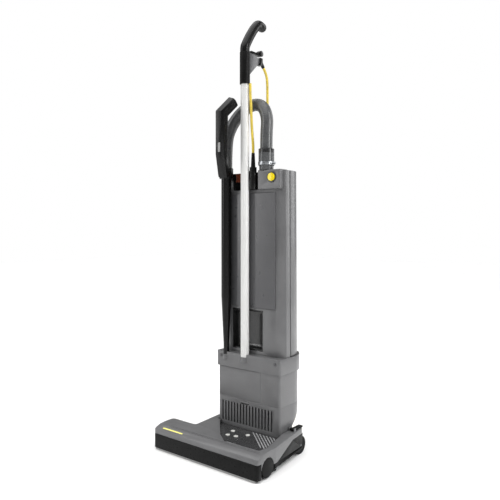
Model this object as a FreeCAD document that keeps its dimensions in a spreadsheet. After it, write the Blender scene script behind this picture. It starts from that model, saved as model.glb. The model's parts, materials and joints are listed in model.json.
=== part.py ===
"""Commercial upright vacuum cleaner: a parametric FreeCAD document, one solid per real piece.

Frame: millimetres, +Z up, the front bumper faces -Y, +X is to the right of a person who faces it.
The origin is on the floor, in the middle of the cleaner's footprint.
"""
import FreeCAD, Part
import math
import os
import re
import Sketcher

Vector = FreeCAD.Vector

doc = FreeCAD.newDocument("UprightVacuum")
sheet = doc.addObject("Spreadsheet::Sheet", "Sizes")

SIZES = [
    # overall
    ("head_width", 370, "width of the cleaning head"),
    ("depth", 300, "front bumper to the back of the collar"),
    ("gap", 0.3, "clearance between neighbouring pieces"),
    ("wall", 3, "wall of the plastic mouldings"),
    # cleaning head
    ("tunnel_depth", 78, "brush tunnel, front to back"),
    ("tunnel_top", 67, "height of the top of the brush tunnel"),
    ("deck_top", 72, "height of the deck rails at the back"),
    ("deck_left", 95, "left rail, from the middle of the head"),
    ("deck_right", 167, "right rail at the back, from the middle of the head"),
    ("deck_length", 156, "deck behind the tunnel, front to back"),
    ("split_height", 28, "joint line of the cover and the chassis"),
    ("chassis_bottom", 8, "floor clearance of the chassis"),
    ("bumper_height", 45, "top edge of the bumper"),
    ("bumper_bottom", 6, "bottom edge of the bumper"),
    ("bumper_thick", 5, "bumper section"),
    ("panel_top", 60, "height of the indicator panel's face"),
    ("light_radius", 6, "indicator light, half its length"),
    ("stripe_length", 76, "accent stripe on the left of the tunnel"),
    # brush and its drive
    ("brush_radius", 26, "tips of the bristles"),
    ("core_radius", 14, "wooden core of the brush roller"),
    ("brush_axis", 27, "height of the brush axis"),
    ("brush_back", 44, "brush axis behind the bumper's face"),
    ("cap_radius", 24, "round end cap of the brush"),
    ("pulley_radius", 11, "pulley on the brush"),
    ("motor_pulley_radius", 6, "pulley on the brush motor"),
    ("belt_width", 9, "drive belt"),
    ("drive_motor_radius", 17, "case of the brush motor"),
    # wheels
    ("wheel_radius", 25, "rear wheel"),
    ("wheel_width", 14, "rear wheel"),
    ("axle_radius", 4, "rear axle"),
    ("axle_back", 226, "rear axle behind the bumper's face"),
    ("roller_radius", 9, "small wheel behind the brush"),
    ("running_gap", 0.08, "radial clearance of a shaft in its bore"),
    # motor housing
    ("body_x", 35, "middle of the body, right of the middle of the head"),
    ("housing_width", 218, "motor housing"),
    ("housing_front", 154, "front of the motor housing behind the bumper's face"),
    ("housing_bottom", 57, "bottom of the motor housing"),
    ("housing_seam", 139, "joint line above the grille"),
    ("collar_bottom", 228, "bottom of the collar"),
    ("collar_top", 270, "top of the collar"),
    ("collar_proud", 4, "collar stands out from the housing"),
    ("pivot_back", 210, "tilt axis behind the bumper's face"),
    ("pivot_height", 45, "tilt axis above the floor"),
    ("slot_pitch", 10.9, "grille slots"),
    ("slot_width", 5, "grille slot"),
    ("slot_bottom", 70, "grille slots"),
    ("slot_top", 127, "grille slots"),
    ("cover_width", 148, "exhaust filter cover"),
    # bag housing
    ("bag_width_low", 218, "bag housing at its foot"),
    ("bag_width_high", 212, "bag housing at its top"),
    ("bag_front", 170, "front of the bag housing behind the bumper's face"),
    ("bag_split", 207, "joint line of the rear cover behind the bumper's face"),
    ("bag_top", 788, "top of the bag housing"),
    ("rear_round", 78, "corner radius at the back"),
    ("front_round", 7, "corner radius at the front of the motor housing"),
    ("slant_width", 26, "slanting front corners of the bag housing, seen from the front"),
    ("slant_depth", 15, "slanting front corners of the bag housing, front to back"),
    ("seam", 3, "groove between the bag housing and its rear cover"),
    ("face_width", 158, "dark front panel"),
    ("face_drop", 62, "top of the front panel, below the top of the bag housing"),
    ("face_bottom", 402, "bottom of the front panel"),
    ("box_height", 52, "hose box, below the top of the bag housing"),
    ("box_width", 76, "hose box"),
    ("button_radius", 11, "hose release button"),
    # hose and wand
    ("hose_radius", 17.5, "suction hose"),
    ("cuff_radius", 22, "hose cuff"),
    ("hose_right", 43, "hose column on the cuff, right of the middle of the body"),
    ("hose_in", 13, "hose column on the cuff, behind the front of the bag housing"),
    ("wand_left", 81, "wand axis, left of the middle of the body"),
    ("wand_in", 1.5, "wand axis, behind the front of the motor housing"),
    ("wand_radius", 14.5, "wand tube"),
    ("wand_rise", 12, "upper end of the wand tube, above the bag housing"),
    # handle
    ("tube_left", 13, "handle tube axis, left of the middle of the body"),
    ("tube_in", 2.5, "handle tube axis, behind the front of the motor housing"),
    ("tube_radius", 12, "handle tube"),
    ("tube_reach", 247, "handle tube above the bag housing, where the sleeve begins"),
    ("sleeve_radius", 14.5, "handle sleeve"),
    ("sleeve_length", 90, "handle sleeve"),
    ("grip_radius", 13.5, "handle grip"),
    ("lead_right", 8.5, "socket of the short lead, right of the middle of the body"),
    ("cord_radius", 3.75, "mains cord"),
    ("coil_radius", 67.5, "middle of the turns of the stored cord"),
    ("coil_rows", 5, "turns across and turns high in the stored cord"),
]

# Places that follow from the sizes, each a formula of their names.
PLACES = {
    "hose_x": "body_x + hose_right",
    "hose_y": "bag_front + hose_in - depth / 2",
    "wand_x": "body_x - wand_left",
    "wand_y": "housing_front + wand_in - depth / 2",
    "wand_top": "bag_top + wand_rise",
    "tube_x": "body_x - tube_left",
    "tube_y": "housing_front + tube_in - depth / 2",
    "tube_top": "bag_top + tube_reach",
    "sleeve_top": "bag_top + tube_reach + sleeve_length",
    "lead_x": "body_x + lead_right",
    "box_bottom": "bag_top - box_height",
    "face_top": "bag_top - face_drop",
}


def fill_sheet():
    """Write one row for each driving dimension, with its alias in column B."""
    for row, (alias, value, note) in enumerate(SIZES, start=1):
        sheet.set(f"A{row}", note)
        sheet.set(f"B{row}", str(value))
        sheet.setAlias(f"B{row}", alias)
    doc.recompute()


fill_sheet()
ALIASES = {alias for alias, value, note in SIZES}
BUILT = []


def bound(text):
    """Turn a formula of size and place names into an expression on the sheet."""
    def full_name(match):
        name = match.group()
        if name in PLACES:
            return f"({bound(PLACES[name])})"
        return "Sizes." + name if name in ALIASES else name
    return re.sub(r"[a-z_]+", full_name, str(text))


def size(text):
    """The number that a formula of size names gives."""
    value = sheet.evalExpression(bound(text))
    return float(getattr(value, "Value", value))


def at_depth(alias):
    """Formula for a place given as a distance behind the bumper's face."""
    return f"({alias} - depth / 2)"


BRUSH_Y = at_depth("brush_back")
PIVOT_Y = at_depth("pivot_back")
AXLE_Y = at_depth("axle_back")
HOUSING_Y = at_depth("housing_front")
BAG_Y = at_depth("bag_front")
SPLIT_Y = at_depth("bag_split")
HALF = "head_width / 2"
REAR_Y = "depth / 2"
FRONT_Y = "(0 - depth / 2)"
TUNNEL_Y = at_depth("tunnel_depth")


# ---------------------------------------------------------------- building blocks

def block(name, x, y, z):
    """A box between two formulas along each axis."""
    box = doc.addObject("Part::Box", name)
    for prop, axis, (low, high) in (("Length", "x", x), ("Width", "y", y), ("Height", "z", z)):
        box.setExpression(prop, bound(f"({high}) - ({low})"))
        box.setExpression(f".Placement.Base.{axis}", bound(low))
    return box


TURN = {"X": (Vector(0, 1, 0), 90), "Y": (Vector(1, 0, 0), -90), "Z": (Vector(0, 0, 1), 0)}


def rod(name, axis, radius, span, at):
    """A cylinder along an axis; at gives its other two coordinates in X, Y, Z order."""
    cylinder = doc.addObject("Part::Cylinder", name)
    cylinder.setExpression("Radius", bound(radius))
    cylinder.setExpression("Height", bound(f"({span[1]}) - ({span[0]})"))
    place(cylinder, axis, span[0], at)
    return cylinder


def place(item, axis, start, at):
    """Turn a round primitive onto its axis and bind where it starts."""
    item.Placement.Rotation = FreeCAD.Rotation(*TURN[axis])
    others = iter(at)
    for name in "XYZ":
        formula = start if name == axis else next(others)
        item.setExpression(f".Placement.Base.{name.lower()}", bound(formula))


def fuse(name, *parts):
    """One solid from several."""
    joined = doc.addObject("Part::MultiFuse", name)
    joined.Shapes = list(parts)
    joined.Refine = True
    return joined


def cut(name, base, *tools):
    """The base with every tool taken out of it."""
    tool = tools[0] if len(tools) == 1 else doc.addObject("Part::MultiFuse", name + "_tools")
    if len(tools) > 1:
        tool.Shapes = list(tools)
    result = doc.addObject("Part::Cut", name)
    result.Base = base
    result.Tool = tool
    return result


def common(name, *parts):
    """What several solids share."""
    shared = doc.addObject("Part::MultiCommon", name)
    shared.Shapes = list(parts)
    return shared


def group(name, *parts):
    """Several separate solids in one node."""
    compound = doc.addObject("Part::Compound", name)
    compound.Links = list(parts)
    return compound


def rounded(name, base, radius, pick):
    """The base with the edges that pick chooses rounded."""
    doc.recompute()
    edges = [i + 1 for i, edge in enumerate(base.Shape.Edges) if pick(edge)]
    fillet = doc.addObject("Part::Fillet", name)
    fillet.Base = base
    reach = size(radius)
    fillet.Edges = [(index, reach, reach) for index in edges]
    return fillet


def is_line(edge):
    """Is the edge a straight one?"""
    return edge.Curve.TypeId == "Part::GeomLine"


def upright(edge):
    """Is the edge a straight vertical one?"""
    return is_line(edge) and abs(edge.tangentAt(edge.FirstParameter).z) > 0.99


PLANES = {"Z": "XY_Plane", "X": "YZ_Plane"}


def prism(name, axis, points, span):
    """A padded outline: a body whose sketch corners are bound to formulas, from span[0] to span[1]."""
    body = doc.addObject("PartDesign::Body", name)
    sketch = body.newObject("Sketcher::SketchObject", name + "_outline")
    plane = [item for item in body.Origin.OriginFeatures if item.Role == PLANES[axis]][0]
    sketch.AttachmentSupport = [(plane, "")]
    sketch.MapMode = "FlatFace"
    sketch.setExpression(".AttachmentOffset.Base.z", bound(span[0]))
    corners = [Vector(size(u), size(v), 0) for u, v in points]
    count = len(corners)
    for i in range(count):
        sketch.addGeometry(Part.LineSegment(corners[i], corners[(i + 1) % count]))
    for i in range(count):
        sketch.addConstraint(Sketcher.Constraint("Coincident", i, 2, (i + 1) % count, 1))
    for i, corner in enumerate(corners):
        for kind, value, formula in (("DistanceX", corner.x, points[i][0]),
                                     ("DistanceY", corner.y, points[i][1])):
            index = sketch.addConstraint(Sketcher.Constraint(kind, -1, 1, i, 1, value))
            sketch.setExpression(f"Constraints[{index}]", bound(formula))
    pad = body.newObject("PartDesign::Pad", name + "_pad")
    pad.Profile = sketch
    pad.setExpression("Length", bound(f"({span[1]}) - ({span[0]})"))
    return body


def feature(name, shape):
    """A piece whose shape is worked out from the sheet by Part's own functions."""
    item = doc.addObject("Part::Feature", name)
    item.Shape = shape
    return item


def keep(item, label=None):
    """Mark an object as a piece of the cleaner."""
    if label:
        item.Label = label
    BUILT.append(item)
    return item


def route(points, share=0.45):
    """Straight runs joined by tangent arcs, each as large as its two runs allow."""
    points = [Vector(*p) for p in points]
    edges = []
    start = points[0]
    radii = []
    for before, corner, after in zip(points, points[1:], points[2:]):
        into = (corner - before).normalize()
        out = (after - corner).normalize()
        half_turn = into.getAngle(out) / 2
        short = min((corner - before).Length, (after - corner).Length) * share
        first = corner - into * short
        last = corner + out * short
        radius = short / math.tan(half_turn)
        radii.append(round(radius, 1))
        middle_way = (out - into).normalize()
        centre = corner + middle_way * (radius / math.cos(half_turn))
        middle = centre - middle_way * radius
        edges.append(Part.LineSegment(start, first).toShape())
        edges.append(Part.Arc(first, middle, last).toShape())
        start = last
    edges.append(Part.LineSegment(start, points[-1]).toShape())
    return Part.Wire(edges), radii


def pipe(points, radius, share=0.45, bore=0):
    """A round tube along a route; with a bore it is hollow."""
    path, radii = route(points, share)
    start = Vector(*points[0])
    way = (Vector(*points[1]) - start).normalize()
    ring = Part.Wire([Part.Circle(start, way, radius).toShape()])
    solid = path.makePipeShell([ring], True, False)
    if bore:
        hole = Part.Wire([Part.Circle(start, way, bore).toShape()])
        solid = solid.cut(path.makePipeShell([hole], True, False))
    print("route radii", radii, "length", round(path.Length, 1),
          "volume ratio", round(solid.Volume / (math.pi * (radius ** 2 - bore ** 2) * path.Length), 3))
    return solid


def belt_loop(name, first, second, x):
    """A flat band round two pulleys; each pulley is given as (y, z, radius) in numbers."""
    def band(offset):
        (y1, z1, r1), (y2, z2, r2) = first, second
        r1, r2 = r1 + offset, r2 + offset
        reach = math.hypot(y2 - y1, z2 - z1)
        heading = math.atan2(z2 - z1, y2 - y1)
        lean = math.acos((r1 - r2) / reach)
        ends = []
        for side in (1, -1):
            angle = heading + side * lean
            ends.append(Vector(x[0], y1 + r1 * math.cos(angle), z1 + r1 * math.sin(angle)))
            ends.append(Vector(x[0], y2 + r2 * math.cos(angle), z2 + r2 * math.sin(angle)))
        far = Vector(x[0], y2 + r2 * math.cos(heading), z2 + r2 * math.sin(heading))
        near = Vector(x[0], y1 - r1 * math.cos(heading), z1 - r1 * math.sin(heading))
        edges = [Part.LineSegment(ends[0], ends[1]).toShape(), Part.Arc(ends[1], far, ends[3]).toShape(),
                 Part.LineSegment(ends[3], ends[2]).toShape(), Part.Arc(ends[2], near, ends[0]).toShape()]
        return Part.Face(Part.Wire(edges)).extrude(Vector(x[1] - x[0], 0, 0))
    return feature(name, band(size("gap") + 2).cut(band(size("gap"))))


# ---------------------------------------------------------------- cleaning head

DECK_END = f"({TUNNEL_Y} + deck_length)"
FACE_IN = f"({FRONT_Y} + bumper_thick + gap)"
WELL_LEFT = "(body_x - housing_width / 2 - wall)"
WELL_RIGHT = "(body_x + housing_width / 2 + wall)"
WELL_FRONT = f"({HOUSING_Y} - 2)"
SIDE_LOW = f"({TUNNEL_Y} + 10)"
SIDE_HIGH = f"({TUNNEL_Y} + 94)"
SIDE_TOP = "(deck_top - 15)"
DUCT_AT = ("(body_x - 75)", "(chassis_bottom + 27)")
HOLLOW_TOP = "(brush_axis + brush_radius + 1)"


def plan(name, inset, bottom, top):
    """The head seen from above: a full-width tunnel with the deck behind it, to the right."""
    left = f"(0 - {HALF} + {inset})"
    right = f"({HALF} - {inset})"
    return prism(name, "Z", [
        (left, FRONT_Y), (right, FRONT_Y), (right, TUNNEL_Y), (f"deck_right - {inset}", DECK_END),
        (f"{inset} - deck_left", DECK_END), (f"{inset} - deck_left", TUNNEL_Y), (left, TUNNEL_Y)],
                 (bottom, top))


def head_hollows(tag):
    """Spaces inside the head: brush tunnel, motor bay, belt slot and the well that the body tilts in."""
    return [
        block(tag + "_tunnel", (f"17 - {HALF}", f"{HALF} - 17"),
              (f"{FACE_IN} + wall", f"{TUNNEL_Y} - 2 * wall"),
              ("0", HOLLOW_TOP)),
        rod(tag + "_bearing_bore", "X", "15 + gap", (f"9 - {HALF}", f"{HALF} - 9"),
            (BRUSH_Y, "brush_axis")),
        block(tag + "_bay", ("3 * wall - deck_left + 10", f"{HALF} - 24"),
              (f"{TUNNEL_Y} + wall", f"{WELL_FRONT} - wall"),
              ("chassis_bottom + 9", HOLLOW_TOP)),
        block(tag + "_belt", (f"{HALF} - 36", f"{HALF} - 22"),
              (f"{TUNNEL_Y} - 3 * wall", f"{TUNNEL_Y} + 2 * wall"),
              ("chassis_bottom + 9", HOLLOW_TOP)),
        rod(tag + "_duct", "Y", "16", (f"{TUNNEL_Y} - 2 * wall - 1", f"{WELL_FRONT} + 30"), DUCT_AT),
        block(tag + "_well", (WELL_LEFT, WELL_RIGHT), (WELL_FRONT, f"{DECK_END} + 1"),
              ("chassis_bottom + 9", "deck_top + 20")),
    ]


def bumper_room(tag):
    """Space at each end of the tunnel for the returns of the bumper."""
    return [block(f"{tag}_return_{side}", span, (FRONT_Y, f"{FRONT_Y} + 17 + gap"),
                  ("0", "bumper_height + gap"))
            for side, span in (("left", (f"0 - {HALF}", f"bumper_thick + gap - {HALF}")),
                               ("right", (f"{HALF} - bumper_thick - gap", HALF)))]


def wheel_wells(tag):
    """Room for the rear wheels and the two small wheels behind the brush."""
    cuts = []
    for side, start in (("left", f"{WELL_LEFT} - wheel_width - 5"), ("right", f"{WELL_RIGHT} + wall")):
        cuts.append(rod(f"{tag}_well_{side}", "X", "wheel_radius + 2",
                        (start, f"{start} + wheel_width + 2"),
                        (AXLE_Y, "wheel_radius")))
    for side, middle in ROLLERS.items():
        cuts.append(block(f"{tag}_roller_{side}", (f"{middle} - 6", f"{middle} + 6"),
                          (f"{ROLLER_Y} - roller_radius - 2", f"{ROLLER_Y} + roller_radius + 2"),
                          ("0", "2 * roller_radius + 2")))
        cuts.append(rod(f"{tag}_roller_pin_{side}", "X", "2.5", (f"{middle} - 8.5", f"{middle} + 8.5"),
                        (ROLLER_Y, "roller_radius")))
    return cuts


ROLLER_Y = f"({TUNNEL_Y} + 14)"
ROLLERS = {"left": "(11 - deck_left)", "right": f"({WELL_RIGHT} + 22)"}


def head_chassis():
    """Black tray under the head, which carries the brush, the wheels and the tilt pins."""
    tray = block("tray", (f"0 - {HALF} + 3", f"{HALF} - 3"), (FACE_IN, TUNNEL_Y),
                 ("chassis_bottom", "split_height"))
    side = prism("deck_side", "X", [
        (f"{TUNNEL_Y} - 1", "chassis_bottom + 6"), (DECK_END, "chassis_bottom + 6"), (DECK_END, SIDE_TOP),
        (SIDE_HIGH, SIDE_TOP), (SIDE_LOW, "split_height"), (f"{TUNNEL_Y} - 1", "split_height")],
        (f"0 - {HALF}", HALF))
    deck = common("deck_tray", plan("deck_plan", "1", "0", "deck_top"), side)
    bores = [rod("axle_bore", "X", "axle_radius", (f"0 - {HALF}", HALF), (AXLE_Y, "wheel_radius")),
             rod("tilt_bore", "X", "6", (f"{WELL_LEFT} - 4", f"{WELL_RIGHT} + 4"),
                 (PIVOT_Y, "pivot_height"))]
    ends = [rod(f"cap_bore_{side_name}", "X", "cap_radius + gap", span, (BRUSH_Y, "brush_axis"))
            for side_name, span in (("left", (f"0 - {HALF}", f"9 - {HALF}")),
                                    ("right", (f"{HALF} - 9", HALF)))]
    keep(cut("head_chassis", fuse("chassis_blank", tray, deck), *head_hollows("chassis"),
             *wheel_wells("chassis"), *bores, *ends, *bumper_room("chassis")))


PANEL_OUTLINE = [
    ("body_x - 98", f"{HOUSING_Y} - 8"), ("body_x - 25", f"{FRONT_Y} + 64"),
    ("body_x + 14", f"{FRONT_Y} + 34"),
    ("body_x + 128", f"{FRONT_Y} + 38"), ("body_x + 132", f"{FRONT_Y} + 66"),
    (f"{WELL_RIGHT} + 2", WELL_FRONT),
    ("body_x - 98", WELL_FRONT)]


def panel_corner(edge):
    """Is the edge one of the indicator panel's corners in front of the well?"""
    return upright(edge) and edge.CenterOfMass.y < size(HOUSING_Y) - 20


def slope_strip(name, low, high, span):
    """A strip that follows the sloping front of the tunnel, between two heights above it."""
    run, rise = 20, 7.6
    slant = math.hypot(run, rise)
    corners = []
    for along, above in ((0.33, low), (0.53, low), (0.53, high), (0.33, high)):
        corners.append((f"{FRONT_Y} + 5 + {run * along} - {above * rise / slant}",
                        f"tunnel_top - 9.4 + {rise * along} + {above * run / slant}"))
    return prism(name, "X", corners, span)


STRIPE_SPAN = (f"25 - {HALF}", f"25 - {HALF} + stripe_length")


def head_cover():
    """Grey moulding over the brush tunnel and the deck."""
    side = prism("cover_side", "X", [
        (FACE_IN, "split_height + gap"), (FACE_IN, "bumper_height + gap"),
        (f"{FRONT_Y} + 2", "bumper_height + gap"),
        (f"{FRONT_Y} + 5", "tunnel_top - 9.4"), (f"{FRONT_Y} + 25", "tunnel_top - 1.8"),
        (f"{FRONT_Y} + 44", "tunnel_top"), (TUNNEL_Y, "tunnel_top"), (DECK_END, "deck_top"),
        (DECK_END, f"{SIDE_TOP} + gap"), (SIDE_HIGH, f"{SIDE_TOP} + gap"),
        (SIDE_LOW, "split_height + gap")],
        (f"0 - {HALF}", HALF))
    outline = rounded("cover_plan", plan("cover_blank", "0", "0", "deck_top + 5"), "10", upright)
    shell = common("cover_solid", outline, side)
    pocket = rounded("panel_pocket", prism("panel_hole", "Z", PANEL_OUTLINE,
                                           ("panel_top - wall", "deck_top + 6")),
                     "7", panel_corner)
    grooves = [block(f"groove_{i}", (f"40 - {HALF}", f"{HALF} - 14"),
                     (f"{FRONT_Y} + {at}", f"{FRONT_Y} + {at + 1.6}"),
                     ("tunnel_top - 2.6", "tunnel_top + 2"))
               for i, at in enumerate((24, 29))]
    end = rod("arch_right", "X", "cap_radius + 2", (f"{HALF} - 9", HALF), (BRUSH_Y, "brush_axis"))
    end_left = rod("arch_left", "X", "cap_radius + 2", (f"0 - {HALF}", f"9 - {HALF}"),
                   (BRUSH_Y, "brush_axis"))
    lugs = [block(f"pedal_lug_{i}", (start, f"{start} + 2.4"), (PEDAL_FRONT, f"{PEDAL_FRONT} + 8"),
                  (f"{SIDE_TOP} + 8", "deck_top + 7")) for i, start in enumerate(PEDAL_LUGS)]
    pin = rod("pedal_bore", "X", "2", (PEDAL_LUGS[0], f"{PEDAL_LUGS[1]} + 3"), PEDAL_AXIS)
    bay = block("pedal_bay", (f"{PEDAL_LUGS[0]} + 2.4", PEDAL_LUGS[1]), (PEDAL_FRONT, f"{DECK_END} + 5"),
                ("deck_top - 8", "deck_top + 8"))
    keep(cut("head_cover", fuse("cover_body", shell, *lugs), *head_hollows("cover"), *bumper_room("cover"),
             pocket, *grooves, end, end_left,
             pin, bay, slope_strip("stripe_groove", -1.2, 4, STRIPE_SPAN)))


def head_trim():
    """Bumper, floor strip, accent stripe, indicator panel with its ribs and lights, end caps."""
    outer = rounded("bumper_round", block("bumper_block", (f"0 - {HALF}", HALF),
                                          (FRONT_Y, f"{FRONT_Y} + 17"),
                                          ("bumper_bottom", "bumper_height")),
                    "9", lambda edge: upright(edge) and edge.CenterOfMass.y < size(FRONT_Y) + 1)
    inner = block("bumper_inner", (f"bumper_thick - {HALF}", f"{HALF} - bumper_thick"),
                  (f"{FRONT_Y} + bumper_thick", REAR_Y), ("0", "bumper_height + 1"))
    keep(cut("bumper_u", outer, inner, block("bumper_ends", (f"0 - {HALF}", HALF),
                                             (f"{FRONT_Y} + 17", REAR_Y),
                                            ("0", "bumper_height + 1"))), "front_bumper")
    keep(block("floor_strip", (f"8 - {HALF}", f"{HALF} - 8"), (f"{FRONT_Y} + 1", f"{FRONT_Y} + 4"),
               ("1.5", "bumper_bottom - gap")))
    keep(slope_strip("accent_stripe", -1, 0.4, (f"{STRIPE_SPAN[0]} + gap", f"{STRIPE_SPAN[1]} - gap")))
    plate = rounded("panel_plate", prism("panel_blank", "Z", PANEL_OUTLINE,
                                         ("panel_top - wall", "panel_top")),
                    "7", panel_corner)
    ribs = [panel_rib(i) for i in range(9)]
    zone = prism("rib_zone", "Z", [
        ("body_x + 20", f"{WELL_FRONT} - 12"), ("body_x + 108", f"{WELL_FRONT} - 12"),
        ("body_x + 122", f"{FRONT_Y} + 84"),
        ("body_x + 122", f"{FRONT_Y} + 46"), ("body_x + 62", f"{FRONT_Y} + 46")],
                 ("panel_top - 1", "panel_top + 2.5"))
    lip = block("panel_lip", ("body_x + 18", "body_x + 124"), (f"{FRONT_Y} + 39.5", f"{FRONT_Y} + 42"),
                ("panel_top - 1", "panel_top + 3.5"))
    keep(fuse("indicator_panel", plate, common("rib_set", fuse("rib_rows", *ribs), zone), lip))
    lights = [rod(f"light_{i}", "Z", "light_radius", ("panel_top", "panel_top + 1.5"),
                  (f"body_x + {x}", f"{FRONT_Y} + {y}")) for i, (x, y) in enumerate(LIGHTS)]
    keep(group("indicator_lights", *lights))


LIGHTS = ((-18, 87), (-25, 118), (7, 92), (28, 118))


def panel_rib(index):
    """One slanting rib of the indicator panel."""
    rib = doc.addObject("Part::Box", f"rib_{index}")
    rib.setExpression("Length", bound("120"))
    rib.setExpression("Width", bound("3"))
    rib.setExpression("Height", bound("3.3"))
    rib.Placement.Rotation = FreeCAD.Rotation(Vector(0, 0, 1), -42)
    rib.setExpression(".Placement.Base.x", bound(f"body_x + 20 + {index} * 11.5"))
    rib.setExpression(".Placement.Base.y", bound(f"{WELL_FRONT} - 6"))
    rib.setExpression(".Placement.Base.z", bound("panel_top - 0.8"))
    return rib


PEDAL_FRONT = f"({PIVOT_Y} - 18)"
PEDAL_LUGS = (f"({WELL_RIGHT} + 0.5)", "(deck_right - 3.2)")
PEDAL_AXIS = (f"({PEDAL_FRONT} + 4)", "(deck_top + 2)")


def tilt_pedal():
    """Foot pedal that frees the upright body, on its pin."""
    low, high = f"{PEDAL_LUGS[0]} + 2.4 + gap", f"{PEDAL_LUGS[1]} - gap"
    pad = block("pedal_pad", (low, high), (f"{PEDAL_FRONT} + 4", f"{DECK_END} + 4"),
                ("deck_top - 0.5", "deck_top + 4"))
    hub = rod("pedal_hub", "X", "3.4", (low, high), PEDAL_AXIS)
    bore = rod("pedal_hole", "X", "2 + running_gap", (low, high), PEDAL_AXIS)
    keep(cut("tilt_pedal", fuse("pedal_blank", pad, hub), bore))
    return rod("pedal_pin", "X", "2", (PEDAL_LUGS[0], f"{PEDAL_LUGS[1]} + 2.4"), PEDAL_AXIS)


# ---------------------------------------------------------------- brush and drive

PULLEY_X = (f"({HALF} - 34)", f"({HALF} - 34 + belt_width + 1)")
MOTOR_Y = f"({TUNNEL_Y} + 34)"
MOTOR_Z = "(chassis_bottom + 10 + drive_motor_radius)"


def brush():
    """Roller with its bristles, shaft, bearings and pulley."""
    core = rod("roller_core", "X", "core_radius", (f"20 - {HALF}", f"{HALF} - 36"), (BRUSH_Y, "brush_axis"))
    shaft = rod("roller_shaft", "X", "6", (f"9 - {HALF}", f"{HALF} - 9"), (BRUSH_Y, "brush_axis"))
    keep(fuse("brush_roller", core, shaft))
    pulley = rod("pulley_disc", "X", "pulley_radius", PULLEY_X, (BRUSH_Y, "brush_axis"))
    hole = rod("pulley_hole", "X", "6", PULLEY_X, (BRUSH_Y, "brush_axis"))
    keep(cut("brush_pulley", pulley, hole))
    keep(feature("brush_bristles", Part.makeCompound(list(tufts()))))
    caps = []
    for side, sign in (("left", "-1"), ("right", "1")):
        span = [(f"{sign} * ({HALF} - {a})", f"{sign} * ({HALF} - {b})") for a,
                b in ((8.5, 0), (16.5, 8.5))]
        cap_span, hub_span = [pair if side == "right" else pair[::-1] for pair in span]
        disc = rod(f"cap_disc_{side}", "X", "cap_radius", cap_span, (BRUSH_Y, "brush_axis"))
        hub = rod(f"cap_hub_{side}", "X", "15", hub_span, (BRUSH_Y, "brush_axis"))
        bore = rod(f"cap_bearing_{side}", "X", "6 + running_gap", hub_span, (BRUSH_Y, "brush_axis"))
        caps.append(cut(f"cap_{side}", fuse(f"cap_blank_{side}", disc, hub), bore))
    keep(group("end_caps", *caps))


def tufts():
    """Bristle tufts in two rows that wind round the roller from its ends to its middle."""
    half = size(HALF) - 40
    count = 15
    for row in range(2):
        for i in range(count):
            x = -half + 2 * half * i / (count - 1)
            turn = math.pi * row + 1.5 * math.pi * abs(x) / half
            out = Vector(0, math.cos(turn), math.sin(turn))
            foot = Vector(x, size(BRUSH_Y), size("brush_axis")) + out * (size("core_radius") - 1)
            yield Part.makeCylinder(3.2, size("brush_radius - core_radius") + 1, foot, out)


def brush_drive():
    """Brush motor, its shaft with the small pulley, and the belt."""
    keep(rod("drive_motor", "X", "drive_motor_radius", (f"{HALF} - 150", f"{HALF} - 44"),
             (MOTOR_Y, MOTOR_Z)))
    small = rod("motor_pulley_disc", "X", "motor_pulley_radius", PULLEY_X, (MOTOR_Y, MOTOR_Z))
    shaft = rod("motor_shaft", "X", "2.5", (f"{HALF} - 44", PULLEY_X[0]), (MOTOR_Y, MOTOR_Z))
    keep(fuse("motor_pulley", small, shaft))
    span = (size(PULLEY_X[0]) + 0.5, size(PULLEY_X[1]) - 0.5)
    brush_at = (size(BRUSH_Y), size("brush_axis"), size("pulley_radius"))
    motor_at = (size(MOTOR_Y), size(MOTOR_Z), size("motor_pulley_radius"))
    keep(belt_loop("drive_belt", brush_at, motor_at, span))


# ---------------------------------------------------------------- wheels

WHEEL_X = {"left": f"({WELL_LEFT} - wheel_width - 4)", "right": f"({WELL_RIGHT} + wall + 1)"}


def wheels(pedal_pin):
    """Rear wheels, the pair of small wheels behind the brush, and every axle and pin of the head."""
    for side, start in WHEEL_X.items():
        span = (start, f"{start} + wheel_width")
        disc = rod(f"wheel_disc_{side}", "X", "wheel_radius", span, (AXLE_Y, "wheel_radius"))
        tyre = rounded(f"wheel_tyre_{side}", disc, "2.5",
                       lambda edge: edge.Curve.TypeId == "Part::GeomCircle")
        bore = rod(f"wheel_bore_{side}", "X", "axle_radius + running_gap", span, (AXLE_Y, "wheel_radius"))
        keep(cut(f"rear_wheel_{side}", tyre, bore))
    pins = [pedal_pin, rod("rear_axle", "X", "axle_radius", (f"{WHEEL_X['left']} - 0.5",
                                                             f"{WHEEL_X['right']} + wheel_width + 0.5"),
                           (AXLE_Y, "wheel_radius"))]
    discs = []
    for side, middle in ROLLERS.items():
        span = (f"{middle} - 4.5", f"{middle} + 4.5")
        disc = rod(f"roller_disc_{side}", "X", "roller_radius", span, (ROLLER_Y, "roller_radius"))
        bore = rod(f"roller_bore_{side}", "X", "2.5 + running_gap", span, (ROLLER_Y, "roller_radius"))
        discs.append(cut(f"front_wheel_{side}", disc, bore))
        pins.append(rod(f"roller_axle_{side}", "X", "2.5", (f"{middle} - 8.5", f"{middle} + 8.5"),
                        (ROLLER_Y, "roller_radius")))
    for side, start, end in (("left", f"{WELL_LEFT} - 4", f"{WELL_LEFT} + 11"),
                             ("right", f"{WELL_RIGHT} - 11", f"{WELL_RIGHT} + 4")):
        pins.append(rod(f"tilt_pin_{side}", "X", "6", (start, end), (PIVOT_Y, "pivot_height")))
    keep(group("front_wheels", *discs))
    keep(group("head_pins", *pins))


def neck_duct():
    """Rigid duct from the brush tunnel to the foot of the motor housing."""
    outer = rod("duct_outer", "Y", "16", (f"{TUNNEL_Y} - 2 * wall + 2.5", f"{WELL_FRONT} + 28"), DUCT_AT)
    bore = rod("duct_bore", "Y", "13.5", (f"{TUNNEL_Y} - 3 * wall", f"{WELL_FRONT} + 31"), DUCT_AT)
    keep(cut("neck_duct", outer, bore))


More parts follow.
